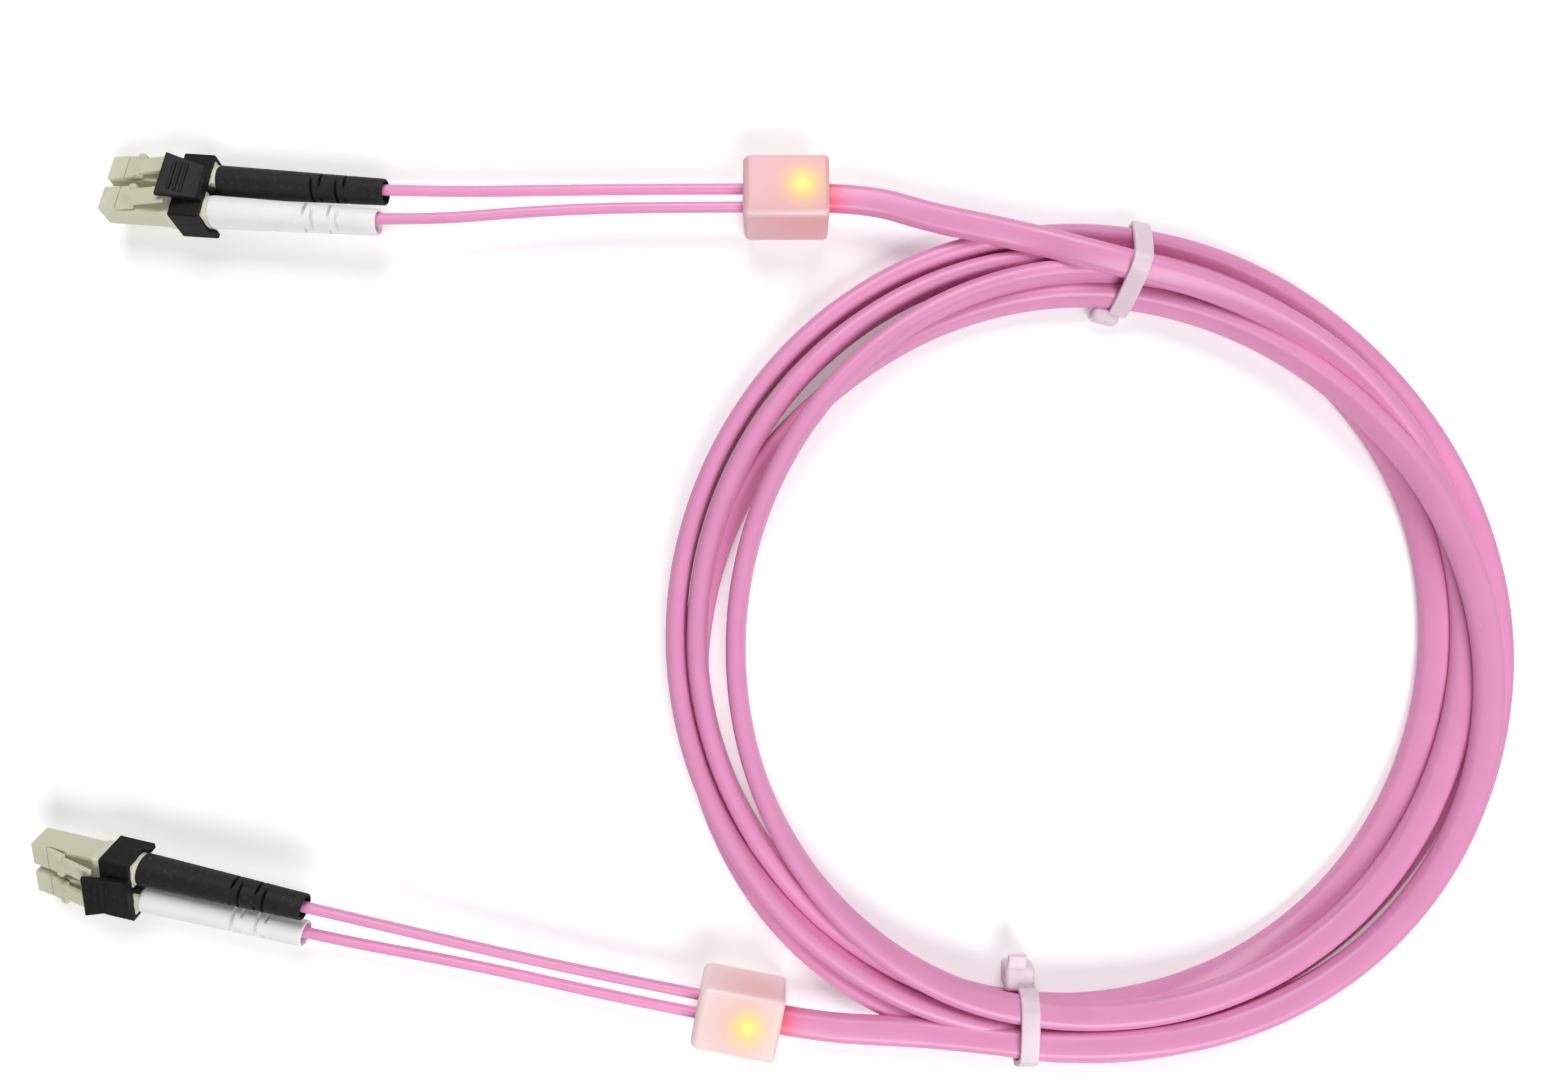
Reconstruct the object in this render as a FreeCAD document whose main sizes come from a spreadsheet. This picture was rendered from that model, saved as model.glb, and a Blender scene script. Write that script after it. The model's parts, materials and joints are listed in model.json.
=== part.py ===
import FreeCAD, Part
import math
import os

import Sketcher
from FreeCAD import Placement, Rotation, Vector

# A duplex fibre patch cord as it lies on a table: an oval cable in a coil held by two ties,
# and at each end a light block, two thin legs and a pair of plugs in a clip with one trigger.
# A plug's own frame has +X from its front face to the rear and +Z towards its latch arm.

SIZES = {
    # Plug housing
    "plug_pitch": 6.25,
    "plug_width": 4.5,
    "plug_height": 4.5,
    "housing_length": 11.1,
    "housing_edge": 0.25,
    "well_radius": 1.65,
    "well_depth": 5.2,
    "shoulder_width": 2.1,
    "shoulder_thickness": 1.0,
    "cavity_width": 3.5,
    "ramp_start": 0.6,
    # Latch arm and its hinge at the root
    "hinge_setback": 7.8,
    "hinge_lift": 0.1,
    "hinge_gap": 0.05,
    "latch_thickness": 0.7,
    "latch_width": 3.0,
    "latch_length": 9.2,
    "latch_rise": 13.0,
    "latch_bed_depth": 0.32,
    "latch_bed_setback": 4.5,
    "latch_side_gap": 0.05,
    "ear_start": 2.1,
    "ear_length": 1.1,
    "ear_height": 0.45,
    "ear_width": 0.7,
    # Ferrule, its holder and its spring
    "ferrule_radius": 0.625,
    "ferrule_reach": 0.2,
    "ferrule_length": 6.8,
    "holder_radius": 0.95,
    "holder_front": 5.3,
    "flange_width": 3.2,
    "flange_gap": 0.12,
    "flange_thickness": 1.0,
    "spring_radius": 1.0,
    "spring_wire": 0.3,
    "spring_turns": 3,
    "spring_gap": 0.06,
    # Rear body and crimp sleeve
    "collar_width": 5.0,
    "collar_length": 6.9,
    "collar_edge": 0.3,
    "snout_gap": 0.05,
    "snout_length": 1.6,
    "snout_hole_width": 2.6,
    "spring_seat": 0.9,
    "rear_flange_radius": 2.72,
    "rear_flange_thickness": 0.7,
    "post_radius": 1.5,
    "post_length": 4.3,
    "crimp_gap": 0.03,
    "crimp_wall": 0.47,
    # Boot
    "boot_length": 29.0,
    "boot_front_radius": 2.8,
    "boot_rear_radius": 2.25,
    "boot_bore_gap": 0.06,
    "boot_bore_depth": 6.0,
    "boot_neck_radius": 1.3,
    "boot_mouth_radius": 1.8,
    "boot_mouth_depth": 4.5,
    "slit_width": 0.45,
    "slit_floor": 1.4,
    "slit_first": 6.8,
    "slit_step": 1.45,
    "slit_pair_step": 4.3,
    # Duplex clip
    "clip_setback": 1.7,
    "clip_length": 5.2,
    "clip_gap": 0.04,
    "clip_wall": 0.7,
    "clip_lip": 0.7,
    "clip_lip_thickness": 0.55,
    "clip_web_gap": 0.06,
    "clip_web_reach": 1.2,
    "clip_web_depth": 1.4,
    "clip_tongue_thickness": 0.5,
    "lug_length": 1.3,
    "lug_height": 1.8,
    "clip_edge": 0.3,
    # Trigger
    "trigger_knuckle": 0.45,
    "trigger_band": 0.9,
    "trigger_gap": 0.05,
    "trigger_rise": 19.0,
    "trigger_length": 6.3,
    "trigger_root_width": 6.6,
    "trigger_front_width": 8.4,
    "trigger_thickness": 0.9,
    "rib_first": 2.3,
    "rib_step": 0.95,
    "rib_width": 0.4,
    "rib_height": 0.22,
    "rib_margin": 0.9,
    # Light block
    "block_length": 14.6,
    "block_width": 11.4,
    "block_edge": 1.4,
    "block_leg_end_edge": 1.3,
    "block_cable_end_edge": 0.8,
    "leg_spacing": 3.3,
    "leg_hole_depth": 5.0,
    "leg_hole_gap": 0.1,
    "cable_hole_depth": 4.0,
    "cable_hole_gap": 0.1,
    "tracer_radius": 0.5,
    "tracer_length": 3.0,
    # Cable, legs and coil
    "cable_width": 5.0,
    "cable_thickness": 3.3,
    "leg_radius": 0.95,
    "coil_inner_radius": 58.8,
    "coil_width": 15.6,
    "coil_height": 7.8,
    "coil_shoulder": 3.6,
    "coil_top_width": 10.4,
    "coil_lift": 1.15,
    "coil_x": 113.33,
    "coil_y": -7.3,
    # Ties
    "tie_width": 3.2,
    "tie_thickness": 1.0,
    "tie_gap": 0.12,
    "tie_head_length": 5.4,
    "tie_head_height": 5.2,
    "tie_head_thickness": 3.4,
    "tie_tail_length": 2.2,
    "tie_head_edge": 0.5,
    "tie_upper_angle": 83.0,
    "tie_lower_angle": 261.0,
    "tie_upper_skew": -7.0,
    "tie_lower_skew": 8.0,
    # Where the plugs and blocks lie: place of the front face's middle, then yaw, pitch and roll
    "plugs_a_x": -55.67,
    "plugs_a_y": 71.7,
    "plugs_a_z": 4.72,
    "plugs_a_yaw": -4.2,
    "plugs_a_pitch": -2.4,
    "plugs_a_roll": -20.8,
    "plugs_b_x": -67.47,
    "plugs_b_y": -44.35,
    "plugs_b_z": 5.1,
    "plugs_b_yaw": -12.0,
    "plugs_b_pitch": -3.5,
    "plugs_b_roll": 28.3,
    "block_a_x": 54.03,
    "block_a_y": 69.9,
    "block_a_z": 6.37,
    "block_a_yaw": 0.0,
    "block_a_roll": -9.7,
    "block_b_x": 46.03,
    "block_b_y": -69.2,
    "block_b_z": 6.0,
    "block_b_yaw": -11.0,
    "block_b_roll": 4.0,
}

ENDS = ("a", "b")
SIDES = {"black": 1, "white": -1}

# Routes of the cords, point by point, from the inner end of one fitting to the next
LEG_ROUTES = {
    ("a", "black"): [
        (-32.49, 72.92, 4.58),
        (-5.59, 70.95, 5.71),
        (34.03, 71.53, 6.09),
        (58.93, 71.53, 6.09),
    ],
    ("a", "white"): [
        (-32.97, 67.1, 6.79),
        (-6.11, 65.25, 7.9),
        (20.93, 67.75, 6.9),
        (41.03, 68.27, 6.65),
        (58.93, 68.27, 6.65),
    ],
    ("b", "black"): [
        (-44.48, -46.42, 7.98),
        (-18.17, -52.02, 9.63),
        (24.75, -63.39, 6.12),
        (51.15, -68.52, 6.12),
    ],
    ("b", "white"): [
        (-45.46, -51.84, 5.03),
        (-19.14, -57.44, 6.67),
        (7.63, -62.4, 6.3),
        (32.96, -68.34, 5.88),
        (50.53, -71.75, 5.88),
    ],
}
LEAD_ROUTES = {
    "a": [
        (64.63, 69.9, 6.37),
        (75.33, 69.9, 6.37),
        (86.03, 66.6, 6.45),
        (96.53, 64.45, 6.4),
        (105.63, 62.3, 6.5),
    ],
    "b": [
        (56.44, -71.22, 6.0),
        (66.93, -73.26, 6.0),
        (79.03, -74.1, 5.3),
        (89.03, -74.8, 4.6),
    ],
}

ARC_SHARE = 0.45
VOLUME_TOLERANCE = 0.01
CORD_SIDES = 8
SPRING_SIDES = 6
TRACER_SIDES = 6
BOOT_SIDES = 16
CRIMP_SIDES = 6
SEAT_SIDES = 8
RIGHT_CORNER = 1


class Size:
    """A length or angle together with the sheet expression that gives it."""

    def __init__(self, value, text):
        self.value = value
        self.text = text

    def __add__(self, other):
        other = as_size(other)
        return Size(self.value + other.value, f"({self.text} + {other.text})")

    def __sub__(self, other):
        other = as_size(other)
        return Size(self.value - other.value, f"({self.text} - {other.text})")

    def __mul__(self, factor):
        return Size(self.value * factor, f"({self.text} * {factor})")

    def __truediv__(self, divisor):
        return Size(self.value / divisor, f"({self.text} / {divisor})")

    def __neg__(self):
        return Size(-self.value, f"(-{self.text})")


def as_size(value):
    return value if isinstance(value, Size) else Size(value, repr(value))


def size(alias):
    return Size(SIZES[alias], f"Sizes.{alias}")


def make_sheet(doc):
    sheet = doc.addObject("Spreadsheet::Sheet", "Sizes")
    for row, (alias, value) in enumerate(SIZES.items(), start=1):
        sheet.set(f"A{row}", alias)
        sheet.set(f"B{row}", str(value))
        sheet.setAlias(f"B{row}", alias)
    doc.recompute()
    return sheet


def origin_feature(body, role):
    return next(feature for feature in body.Origin.OriginFeatures if feature.Role == role)


def new_body(doc, label, placement):
    body = doc.addObject("PartDesign::Body", label)
    body.Label = label
    body.Placement = placement
    return body


def new_sketch(body, role, offset=None):
    """Start a sketch on one of the body's own planes, moved along its normal by offset."""
    sketch = body.newObject("Sketcher::SketchObject", f"{body.Label}_sketch")
    sketch.AttachmentSupport = [(origin_feature(body, role), "")]
    sketch.MapMode = "FlatFace"
    if offset is not None:
        sketch.AttachmentOffset = Placement(Vector(0, 0, offset.value), Rotation())
        sketch.setExpression("AttachmentOffset.Base.z", offset.text)
    return sketch


def hold(sketch, kind, edge, end, distance):
    """Keep one coordinate of a point at a size, or on the sketch's axis where that size is nought."""
    if distance.value == 0:
        axis = {"DistanceX": -2, "DistanceY": -1}[kind]
        sketch.addConstraint(Sketcher.Constraint("PointOnObject", edge, end, axis))
        return
    index = sketch.addConstraint(Sketcher.Constraint(kind, -1, 1, edge, end, distance.value))
    sketch.setExpression(f"Constraints[{index}]", distance.text)


def outline(sketch, corners):
    """Draw a closed outline of straight edges and tie each corner to its sizes."""
    corners = [(as_size(across), as_size(up)) for across, up in corners]
    first = sketch.GeometryCount
    count = len(corners)
    points = [Vector(across.value, up.value, 0) for across, up in corners]
    sketch.addGeometry([Part.LineSegment(points[i - 1], points[i]) for i in range(count)])
    sketch.addConstraint(
        [Sketcher.Constraint("Coincident", first + i, 2, first + (i + 1) % count, 1) for i in range(count)]
    )
    for i, (across, up) in enumerate(corners):
        hold(sketch, "DistanceX", first + i, 2, across)
        hold(sketch, "DistanceY", first + i, 2, up)


def rectangle(sketch, left, right, low, high):
    outline(sketch, [(left, low), (right, low), (right, high), (left, high)])


def circle(sketch, across, up, radius):
    across, up = as_size(across), as_size(up)
    centre = Vector(across.value, up.value, 0)
    edge = sketch.addGeometry(Part.Circle(centre, Vector(0, 0, 1), radius.value))
    hold(sketch, "DistanceX", edge, 3, across)
    hold(sketch, "DistanceY", edge, 3, up)
    index = sketch.addConstraint(Sketcher.Constraint("Radius", edge, radius.value))
    sketch.setExpression(f"Constraints[{index}]", radius.text)


def slot(sketch, length, height):
    """Draw an oval of straight sides and round ends, centred on the sketch and lying along its X axis."""
    reach = (length.value - height.value) / 2
    radius = height.value / 2
    low, high = Vector(0, -radius, 0), Vector(0, radius, 0)
    ends = {side: Vector(side * reach, 0, 0) for side in (-1, 1)}
    normal = Vector(0, 0, 1)
    right = Part.ArcOfCircle(Part.Circle(ends[1], normal, radius), -math.pi / 2, math.pi / 2)
    left = Part.ArcOfCircle(Part.Circle(ends[-1], normal, radius), math.pi / 2, 3 * math.pi / 2)
    top = Part.LineSegment(ends[1] + high, ends[-1] + high)
    bottom = Part.LineSegment(ends[-1] + low, ends[1] + low)
    sketch.addGeometry([right, top, left, bottom])
    joins = [Sketcher.Constraint("Tangent", i, 2, (i + 1) % 4, 1) for i in range(4)]
    sketch.addConstraint(joins)
    sketch.addConstraint(
        [
            Sketcher.Constraint("Equal", 0, 2),
            Sketcher.Constraint("PointOnObject", 0, 3, -1),
            Sketcher.Constraint("Symmetric", 0, 3, 2, 3, -1, 1),
        ]
    )
    index = sketch.addConstraint(Sketcher.Constraint("Radius", 0, radius))
    sketch.setExpression(f"Constraints[{index}]", (height / 2).text)
    index = sketch.addConstraint(Sketcher.Constraint("DistanceX", -1, 1, 0, 3, reach))
    sketch.setExpression(f"Constraints[{index}]", ((length - height) / 2).text)


def regular_polygon(sketch, sides, radius, across=0):
    """Draw a regular polygon round a point of the sketch's X axis, with its corners at the radius and one on X."""
    across = as_size(across)
    middle = Vector(across.value, 0, 0)
    angles = [2 * math.pi * i / sides for i in range(sides + 1)]
    corners = [middle + Vector(math.cos(angle), math.sin(angle), 0) * radius.value for angle in angles]
    rim = sketch.addGeometry(Part.Circle(middle, Vector(0, 0, 1), radius.value), True)
    hold(sketch, "DistanceX", rim, 3, across)
    hold(sketch, "DistanceY", rim, 3, as_size(0))
    index = sketch.addConstraint(Sketcher.Constraint("Radius", rim, radius.value))
    sketch.setExpression(f"Constraints[{index}]", radius.text)
    edges = sketch.addGeometry([Part.LineSegment(*pair) for pair in zip(corners, corners[1:])])
    for edge, following in zip(edges, edges[1:] + edges[:1]):
        sketch.addConstraint(Sketcher.Constraint("Coincident", edge, 2, following, 1))
        sketch.addConstraint(Sketcher.Constraint("PointOnObject", edge, 1, rim))
    sketch.addConstraint([Sketcher.Constraint("Equal", edges[0], edge) for edge in edges[1:]])
    sketch.addConstraint(Sketcher.Constraint("PointOnObject", edges[0], 1, -1))


def square(sketch, width):
    rectangle(sketch, -width / 2, width / 2, -width / 2, width / 2)


def pad(body, sketch, length, sides="Symmetric"):
    feature = body.newObject("PartDesign::Pad", f"{body.Label}_pad")
    feature.Profile = sketch
    feature.SideType = sides
    feature.setExpression("Length", length.text)
    return feature


def pocket(body, sketch, length=None, sides="Symmetric", inwards=False):
    """Cut a sketch through the whole body, or to a depth; inwards follows the sketch's own normal."""
    feature = body.newObject("PartDesign::Pocket", f"{body.Label}_pocket")
    feature.Profile = sketch
    feature.SideType = sides
    feature.Reversed = inwards
    if length is None:
        feature.Type = "ThroughAll"
    else:
        feature.setExpression("Length", length.text)
    return feature


def turn(body, sketch, kind="PartDesign::Revolution", axis="H_Axis"):
    """Turn a sketch right round one of its own axes, to add metal or to take it away."""
    feature = body.newObject(kind, f"{body.Label}_turned")
    feature.Profile = sketch
    feature.ReferenceAxis = (sketch, [axis])
    feature.Angle = 360
    return feature


def round_edges(body, radius, wanted):
    """Fillet the edges of the body so far that the test picks out."""
    body.Document.recompute()
    base = body.Tip
    names = [f"Edge{i}" for i, edge in enumerate(base.Shape.Edges, start=1) if wanted(edge)]
    feature = body.newObject("PartDesign::Fillet", f"{body.Label}_fillet")
    feature.Base = (base, names)
    feature.setExpression("Radius", radius.text)
    return feature


def bevel_edges(body, width, wanted):
    """Chamfer the edges of the body so far that the test picks out."""
    body.Document.recompute()
    base = body.Tip
    names = [f"Edge{i}" for i, edge in enumerate(base.Shape.Edges, start=1) if wanted(edge)]
    feature = body.newObject("PartDesign::Chamfer", f"{body.Label}_chamfer")
    feature.Base = (base, names)
    feature.setExpression("Size", width.text)
    return feature


def straight_along(edge, axis):
    return isinstance(edge.Curve, Part.Line) and abs(edge.Curve.Direction.dot(axis)) > 0.999


def at_x(edge, x):
    return all(abs(vertex.X - x) < 1e-4 for vertex in edge.Vertexes)


def pose(name):
    """Placement of a pair of plugs or of a light block, from its cells in the sheet."""
    place = Vector(*(SIZES[f"{name}_{axis}"] for axis in "xyz"))
    yaw, pitch, roll = (SIZES.get(f"{name}_{turn_name}", 0.0) for turn_name in ("yaw", "pitch", "roll"))
    return Placement(place, Rotation(yaw, pitch, roll))


def shifted(placement, x=0.0, y=0.0, z=0.0):
    return placement * Placement(Vector(x, y, z), Rotation())


def leaning(placement, x, z, degrees):
    """A frame at a hinge in a plug, tipped about the plug's Y axis."""
    return placement * Placement(Vector(x, 0, z), Rotation(Vector(0, 1, 0), degrees))


SEAM = size("housing_length")
SHOULDER_REAR = size("well_depth") + size("shoulder_thickness")
FLANGE_FRONT = SHOULDER_REAR + size("flange_gap")
FLANGE_REAR = FLANGE_FRONT + size("flange_thickness")
SPRING_SEAT = SEAM + size("spring_seat")
COLLAR_REAR = SEAM + size("collar_length")
POST_FRONT = COLLAR_REAR + size("rear_flange_thickness")
POST_REAR = POST_FRONT + size("post_length")
CRIMP_RADIUS = size("post_radius") + size("crimp_gap") + size("crimp_wall")
BOOT_REAR = POST_FRONT + size("boot_length")
HINGE_X = SEAM - size("hinge_setback")
LATCH_BED_END = SEAM - size("latch_bed_setback")
HINGE_HEIGHT = size("plug_height") / 2 + size("hinge_lift")
CLIP_FRONT = SEAM + size("clip_setback")
CLIP_TOP = size("collar_width") / 2 + size("clip_gap") + size("clip_wall")
CLIP_HALF = size("plug_pitch") / 2 + size("collar_width") / 2 + size("clip_gap") + size("clip_wall")
TRIGGER_AXIS_X = size("clip_length") - size("trigger_band")
TRIGGER_AXIS_Z = CLIP_TOP + size("trigger_knuckle")


def plug_housing(doc, label, placement):
    """Square nose with a ramp up to the latch's root, a bed under the arm, a well and a square cavity."""
    body = new_body(doc, label, placement)
    half = size("plug_height") / 2
    ramp_top = HINGE_HEIGHT + size("latch_thickness") / 2
    side = new_sketch(body, "XZ_Plane")
    outline(
        side,
        [
            (0, -half),
            (SEAM, -half),
            (SEAM, half),
            (LATCH_BED_END, half),
            (HINGE_X, half - size("latch_bed_depth")),
            (HINGE_X, ramp_top),
            (size("ramp_start"), half),
            (0, half),
        ],
    )
    pad(body, side, size("plug_width"))
    socket = new_sketch(body, "XZ_Plane")
    circle(socket, HINGE_X, HINGE_HEIGHT, size("latch_thickness") / 2 + size("hinge_gap"))
    pocket(body, socket)
    low = -half.value
    bevel_edges(
        body,
        size("housing_edge"),
        lambda edge: straight_along(edge, Vector(1, 0, 0)) and abs(edge.CenterOfMass.z - low) < 1e-4,
    )
    well = new_sketch(body, "YZ_Plane")
    circle(well, 0, 0, size("well_radius"))
    pocket(body, well, size("well_depth"), "One side", inwards=True)
    cavity = new_sketch(body, "YZ_Plane", SEAM)
    square(cavity, size("cavity_width"))
    pocket(body, cavity, SEAM - SHOULDER_REAR, "One side")
    shoulder = new_sketch(body, "YZ_Plane", SHOULDER_REAR)
    square(shoulder, size("shoulder_width"))
    pocket(body, shoulder, size("shoulder_thickness"), "One side")
    return body


def latch_arm(doc, label, placement):
    """Sprung arm that rises to the rear, full width to its two ears and narrow behind them."""
    frame = leaning(placement, HINGE_X.value, HINGE_HEIGHT.value, -size("latch_rise").value)
    body = new_body(doc, label, frame)
    half = size("latch_thickness") / 2
    shoulder_width = size("plug_width") - size("latch_side_gap") * 2
    ear_end = size("ear_start") + size("ear_length")
    root = new_sketch(body, "XZ_Plane")
    circle(root, 0, 0, half)
    pad(body, root, shoulder_width)
    shoulder = new_sketch(body, "XZ_Plane")
    rectangle(shoulder, 0, ear_end, -half, half)
    pad(body, shoulder, shoulder_width)
    arm = new_sketch(body, "XZ_Plane")
    tip = size("latch_length")
    outline(arm, [(0, -half), (tip - half, -half), (tip, 0), (tip, half), (0, half)])
    pad(body, arm, size("latch_width"))
    ears = new_sketch(body, "XZ_Plane")
    ear_top = half + size("ear_height")
    outline(
        ears,
        [(size("ear_start") - half, half), (ear_end, half), (ear_end, ear_top), (size("ear_start"), ear_top)],
    )
    pad(body, ears, shoulder_width)
    between = new_sketch(body, "XZ_Plane")
    rectangle(between, 0, ear_end + half, half, ear_top + half)
    pocket(body, between, shoulder_width - size("ear_width") * 2)
    return body


def ferrule(doc, label, placement):
    """Round ceramic pin, with flats ground on the end that is pressed into its holder."""
    body = new_body(doc, label, placement)
    tip = -size("ferrule_reach")
    pin = new_sketch(body, "YZ_Plane", tip)
    circle(pin, 0, 0, size("ferrule_radius"))
    pad(body, pin, size("holder_front") - tip, "One side")
    seat = new_sketch(body, "YZ_Plane", size("holder_front"))
    regular_polygon(seat, SEAT_SIDES, size("ferrule_radius"))
    pad(body, seat, tip + size("ferrule_length") - size("holder_front"), "One side")
    return body


def ferrule_holder(doc, label, placement):
    """Barrel that the ferrule is pressed into, with a square flange that the spring pushes on."""
    body = new_body(doc, label, placement)
    barrel = new_sketch(body, "YZ_Plane", size("holder_front"))
    circle(barrel, 0, 0, size("holder_radius"))
    pad(body, barrel, FLANGE_FRONT - size("holder_front"), "One side")
    flange = new_sketch(body, "YZ_Plane", FLANGE_FRONT)
    square(flange, size("flange_width"))
    pad(body, flange, size("flange_thickness"), "One side")
    socket = new_sketch(body, "YZ_Plane", size("holder_front"))
    regular_polygon(socket, SEAT_SIDES, size("ferrule_radius"))
    ferrule_rear = size("ferrule_length") - size("ferrule_reach")
    pocket(body, socket, ferrule_rear - size("holder_front"), "One side", inwards=True)
    return body


def ferrule_spring(doc, label, placement):
    """Square wire in a helix of short chords between the holder's flange and its seat in the rear body."""
    wire = SIZES["spring_wire"]
    front = (FLANGE_REAR + size("spring_gap")).value + wire
    rear = (SPRING_SEAT - size("spring_gap")).value - wire
    chords = SPRING_SIDES * SIZES["spring_turns"]
    points = []
    for chord in range(chords + 1):
        angle = 2 * math.pi * chord / SPRING_SIDES
        outwards = Vector(0, math.cos(angle), math.sin(angle))
        points.append(Vector(front + (rear - front) * chord / chords, 0, 0) + outwards * SIZES["spring_radius"])
    half = wire / 2
    corners = [points[0] + Vector(x, y, 0) for x, y in ((-half, -half), (half, -half), (half, half), (-half, half))]
    section = Part.makePolygon(corners + corners[:1])
    spring = doc.addObject("Part::Feature", label)
    spring.Label = label
    spring.Shape = Part.makePolygon(points).makePipeShell([section], True, False, RIGHT_CORNER)
    spring.Placement = placement
    return spring


def rear_body(doc, label, placement):
    """Square collar that the clip grips, with a snout into the housing and a post for the crimp."""
    body = new_body(doc, label, placement)
    collar = new_sketch(body, "YZ_Plane", SEAM)
    square(collar, size("collar_width"))
    pad(body, collar, size("collar_length"), "One side")
    along = Vector(1, 0, 0)
    bevel_edges(body, size("collar_edge"), lambda edge: straight_along(edge, along))
    snout_front = SEAM - size("snout_length")
    snout = new_sketch(body, "YZ_Plane", snout_front)
    square(snout, size("cavity_width") - size("snout_gap") * 2)
    pad(body, snout, size("snout_length"), "One side")
    hole = new_sketch(body, "YZ_Plane", snout_front)
    square(hole, size("snout_hole_width"))
    pocket(body, hole, SPRING_SEAT - snout_front, "One side", inwards=True)
    post = new_sketch(body, "XZ_Plane")
    outline(
        post,
        [
            (COLLAR_REAR, 0),
            (POST_REAR, 0),
            (POST_REAR, size("post_radius")),
            (POST_FRONT, size("post_radius")),
            (POST_FRONT, size("rear_flange_radius")),
            (COLLAR_REAR, size("rear_flange_radius")),
        ],
    )
    turn(body, post)
    return body


def crimp_sleeve(doc, label, placement):
    """Metal sleeve over the post, left six sided by the crimping jaws."""
    body = new_body(doc, label, placement)
    section = new_sketch(body, "YZ_Plane", POST_FRONT)
    regular_polygon(section, CRIMP_SIDES, CRIMP_RADIUS)
    circle(section, 0, 0, size("post_radius") + size("crimp_gap"))
    pad(body, section, POST_REAR - POST_FRONT, "One side")
    return body


def boot(doc, label, placement):
    """Tapered strain relief, slit by turns from above and below and from both sides to let it bend."""
    body = new_body(doc, label, placement)
    front = new_sketch(body, "YZ_Plane", POST_FRONT)
    regular_polygon(front, BOOT_SIDES, size("boot_front_radius"))
    rear = new_sketch(body, "YZ_Plane", BOOT_REAR)
    regular_polygon(rear, BOOT_SIDES, size("boot_rear_radius"))
    taper = body.newObject("PartDesign::AdditiveLoft", f"{label}_taper")
    taper.Profile = front
    taper.Sections = [rear]
    taper.Ruled = True
    bore = new_sketch(body, "XZ_Plane")
    crimp_bore = CRIMP_RADIUS + size("boot_bore_gap")
    step = POST_FRONT + size("boot_bore_depth")
    mouth = BOOT_REAR - size("boot_mouth_depth")
    outline(
        bore,
        [
            (POST_FRONT, 0),
            (BOOT_REAR, 0),
            (BOOT_REAR, size("boot_mouth_radius")),
            (mouth, size("boot_mouth_radius")),
            (mouth, size("boot_neck_radius")),
            (step, size("boot_neck_radius")),
            (step, crimp_bore),
            (POST_FRONT, crimp_bore),
        ],
    )
    turn(body, bore, "PartDesign::Groove")
    beyond = size("boot_front_radius") * 2
    floor = size("slit_floor")
    for row, plane in enumerate(("XY_Plane", "XZ_Plane")):
        cuts = new_sketch(body, plane)
        for pair in range(2):
            start = BOOT_REAR - size("slit_first") - size("slit_step") * row - size("slit_pair_step") * pair
            rectangle(cuts, start, start + size("slit_width"), floor, beyond)
            rectangle(cuts, start, start + size("slit_width"), -beyond, -floor)
        pocket(body, cuts)
    return body


def duplex_clip(doc, label, placement):
    """Saddle over both collars with a middle web, lips below, rear lugs and a tongue between the boots."""
    body = new_body(doc, label, shifted(placement, x=CLIP_FRONT.value))
    length = size("clip_length")
    roof = size("collar_width") / 2 + size("clip_gap")
    inner = CLIP_HALF - size("clip_wall")
    web = size("plug_pitch") / 2 - size("collar_width") / 2 - size("clip_web_gap")
    foot = -roof - size("clip_lip_thickness")
    right = [
        (web, -size("clip_web_depth")),
        (web, roof),
        (inner, roof),
        (inner, -roof),
        (inner - size("clip_lip"), -roof),
        (inner - size("clip_lip"), foot),
        (CLIP_HALF, foot),
        (CLIP_HALF, CLIP_TOP),
    ]
    section = new_sketch(body, "YZ_Plane")
    outline(section, right + [(-across, up) for across, up in reversed(right)])
    pad(body, section, length, "One side")
    along = Vector(1, 0, 0)
    top = CLIP_TOP.value
    side = CLIP_HALF.value
    round_edges(
        body,
        size("clip_edge"),
        lambda edge: straight_along(edge, along)
        and abs(abs(edge.CenterOfMass.y) - side) < 1e-4
        and abs(edge.CenterOfMass.z - top) < 1e-4,
    )
    band = new_sketch(body, "XZ_Plane")
    band_top = TRIGGER_AXIS_Z + size("trigger_knuckle")
    rectangle(band, TRIGGER_AXIS_X, length, CLIP_TOP - size("clip_wall") / 2, band_top)
    pad(body, band, size("trigger_root_width"))
    socket = new_sketch(body, "XZ_Plane")
    circle(socket, TRIGGER_AXIS_X, TRIGGER_AXIS_Z, size("trigger_knuckle") + size("trigger_gap"))
    pocket(body, socket, size("trigger_root_width") + size("trigger_gap") * 2)
    lug_end = length + size("lug_length")
    lug_top = foot + size("lug_height")
    for wall_side in (inner, -CLIP_HALF):
        lug = new_sketch(body, "XZ_Plane", wall_side)
        outline(
            lug,
            [
                (length - size("clip_wall"), foot),
                (lug_end - size("clip_edge"), foot),
                (lug_end, foot + size("clip_edge")),
                (lug_end, lug_top - size("clip_edge")),
                (lug_end - size("clip_edge"), lug_top),
                (length - size("clip_wall"), lug_top),
            ],
        )
        pad(body, lug, size("clip_wall"), "One side")
    tongue = new_sketch(body, "XZ_Plane")
    tongue_end = length + size("clip_web_reach")
    tongue_low = -size("clip_web_depth")
    outline(
        tongue,
        [
            (length - size("clip_wall"), tongue_low),
            (length, tongue_low),
            (tongue_end, 0),
            (tongue_end, roof),
            (length - size("clip_wall"), roof),
        ],
    )
    pad(body, tongue, size("clip_tongue_thickness"))
    return body


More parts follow.
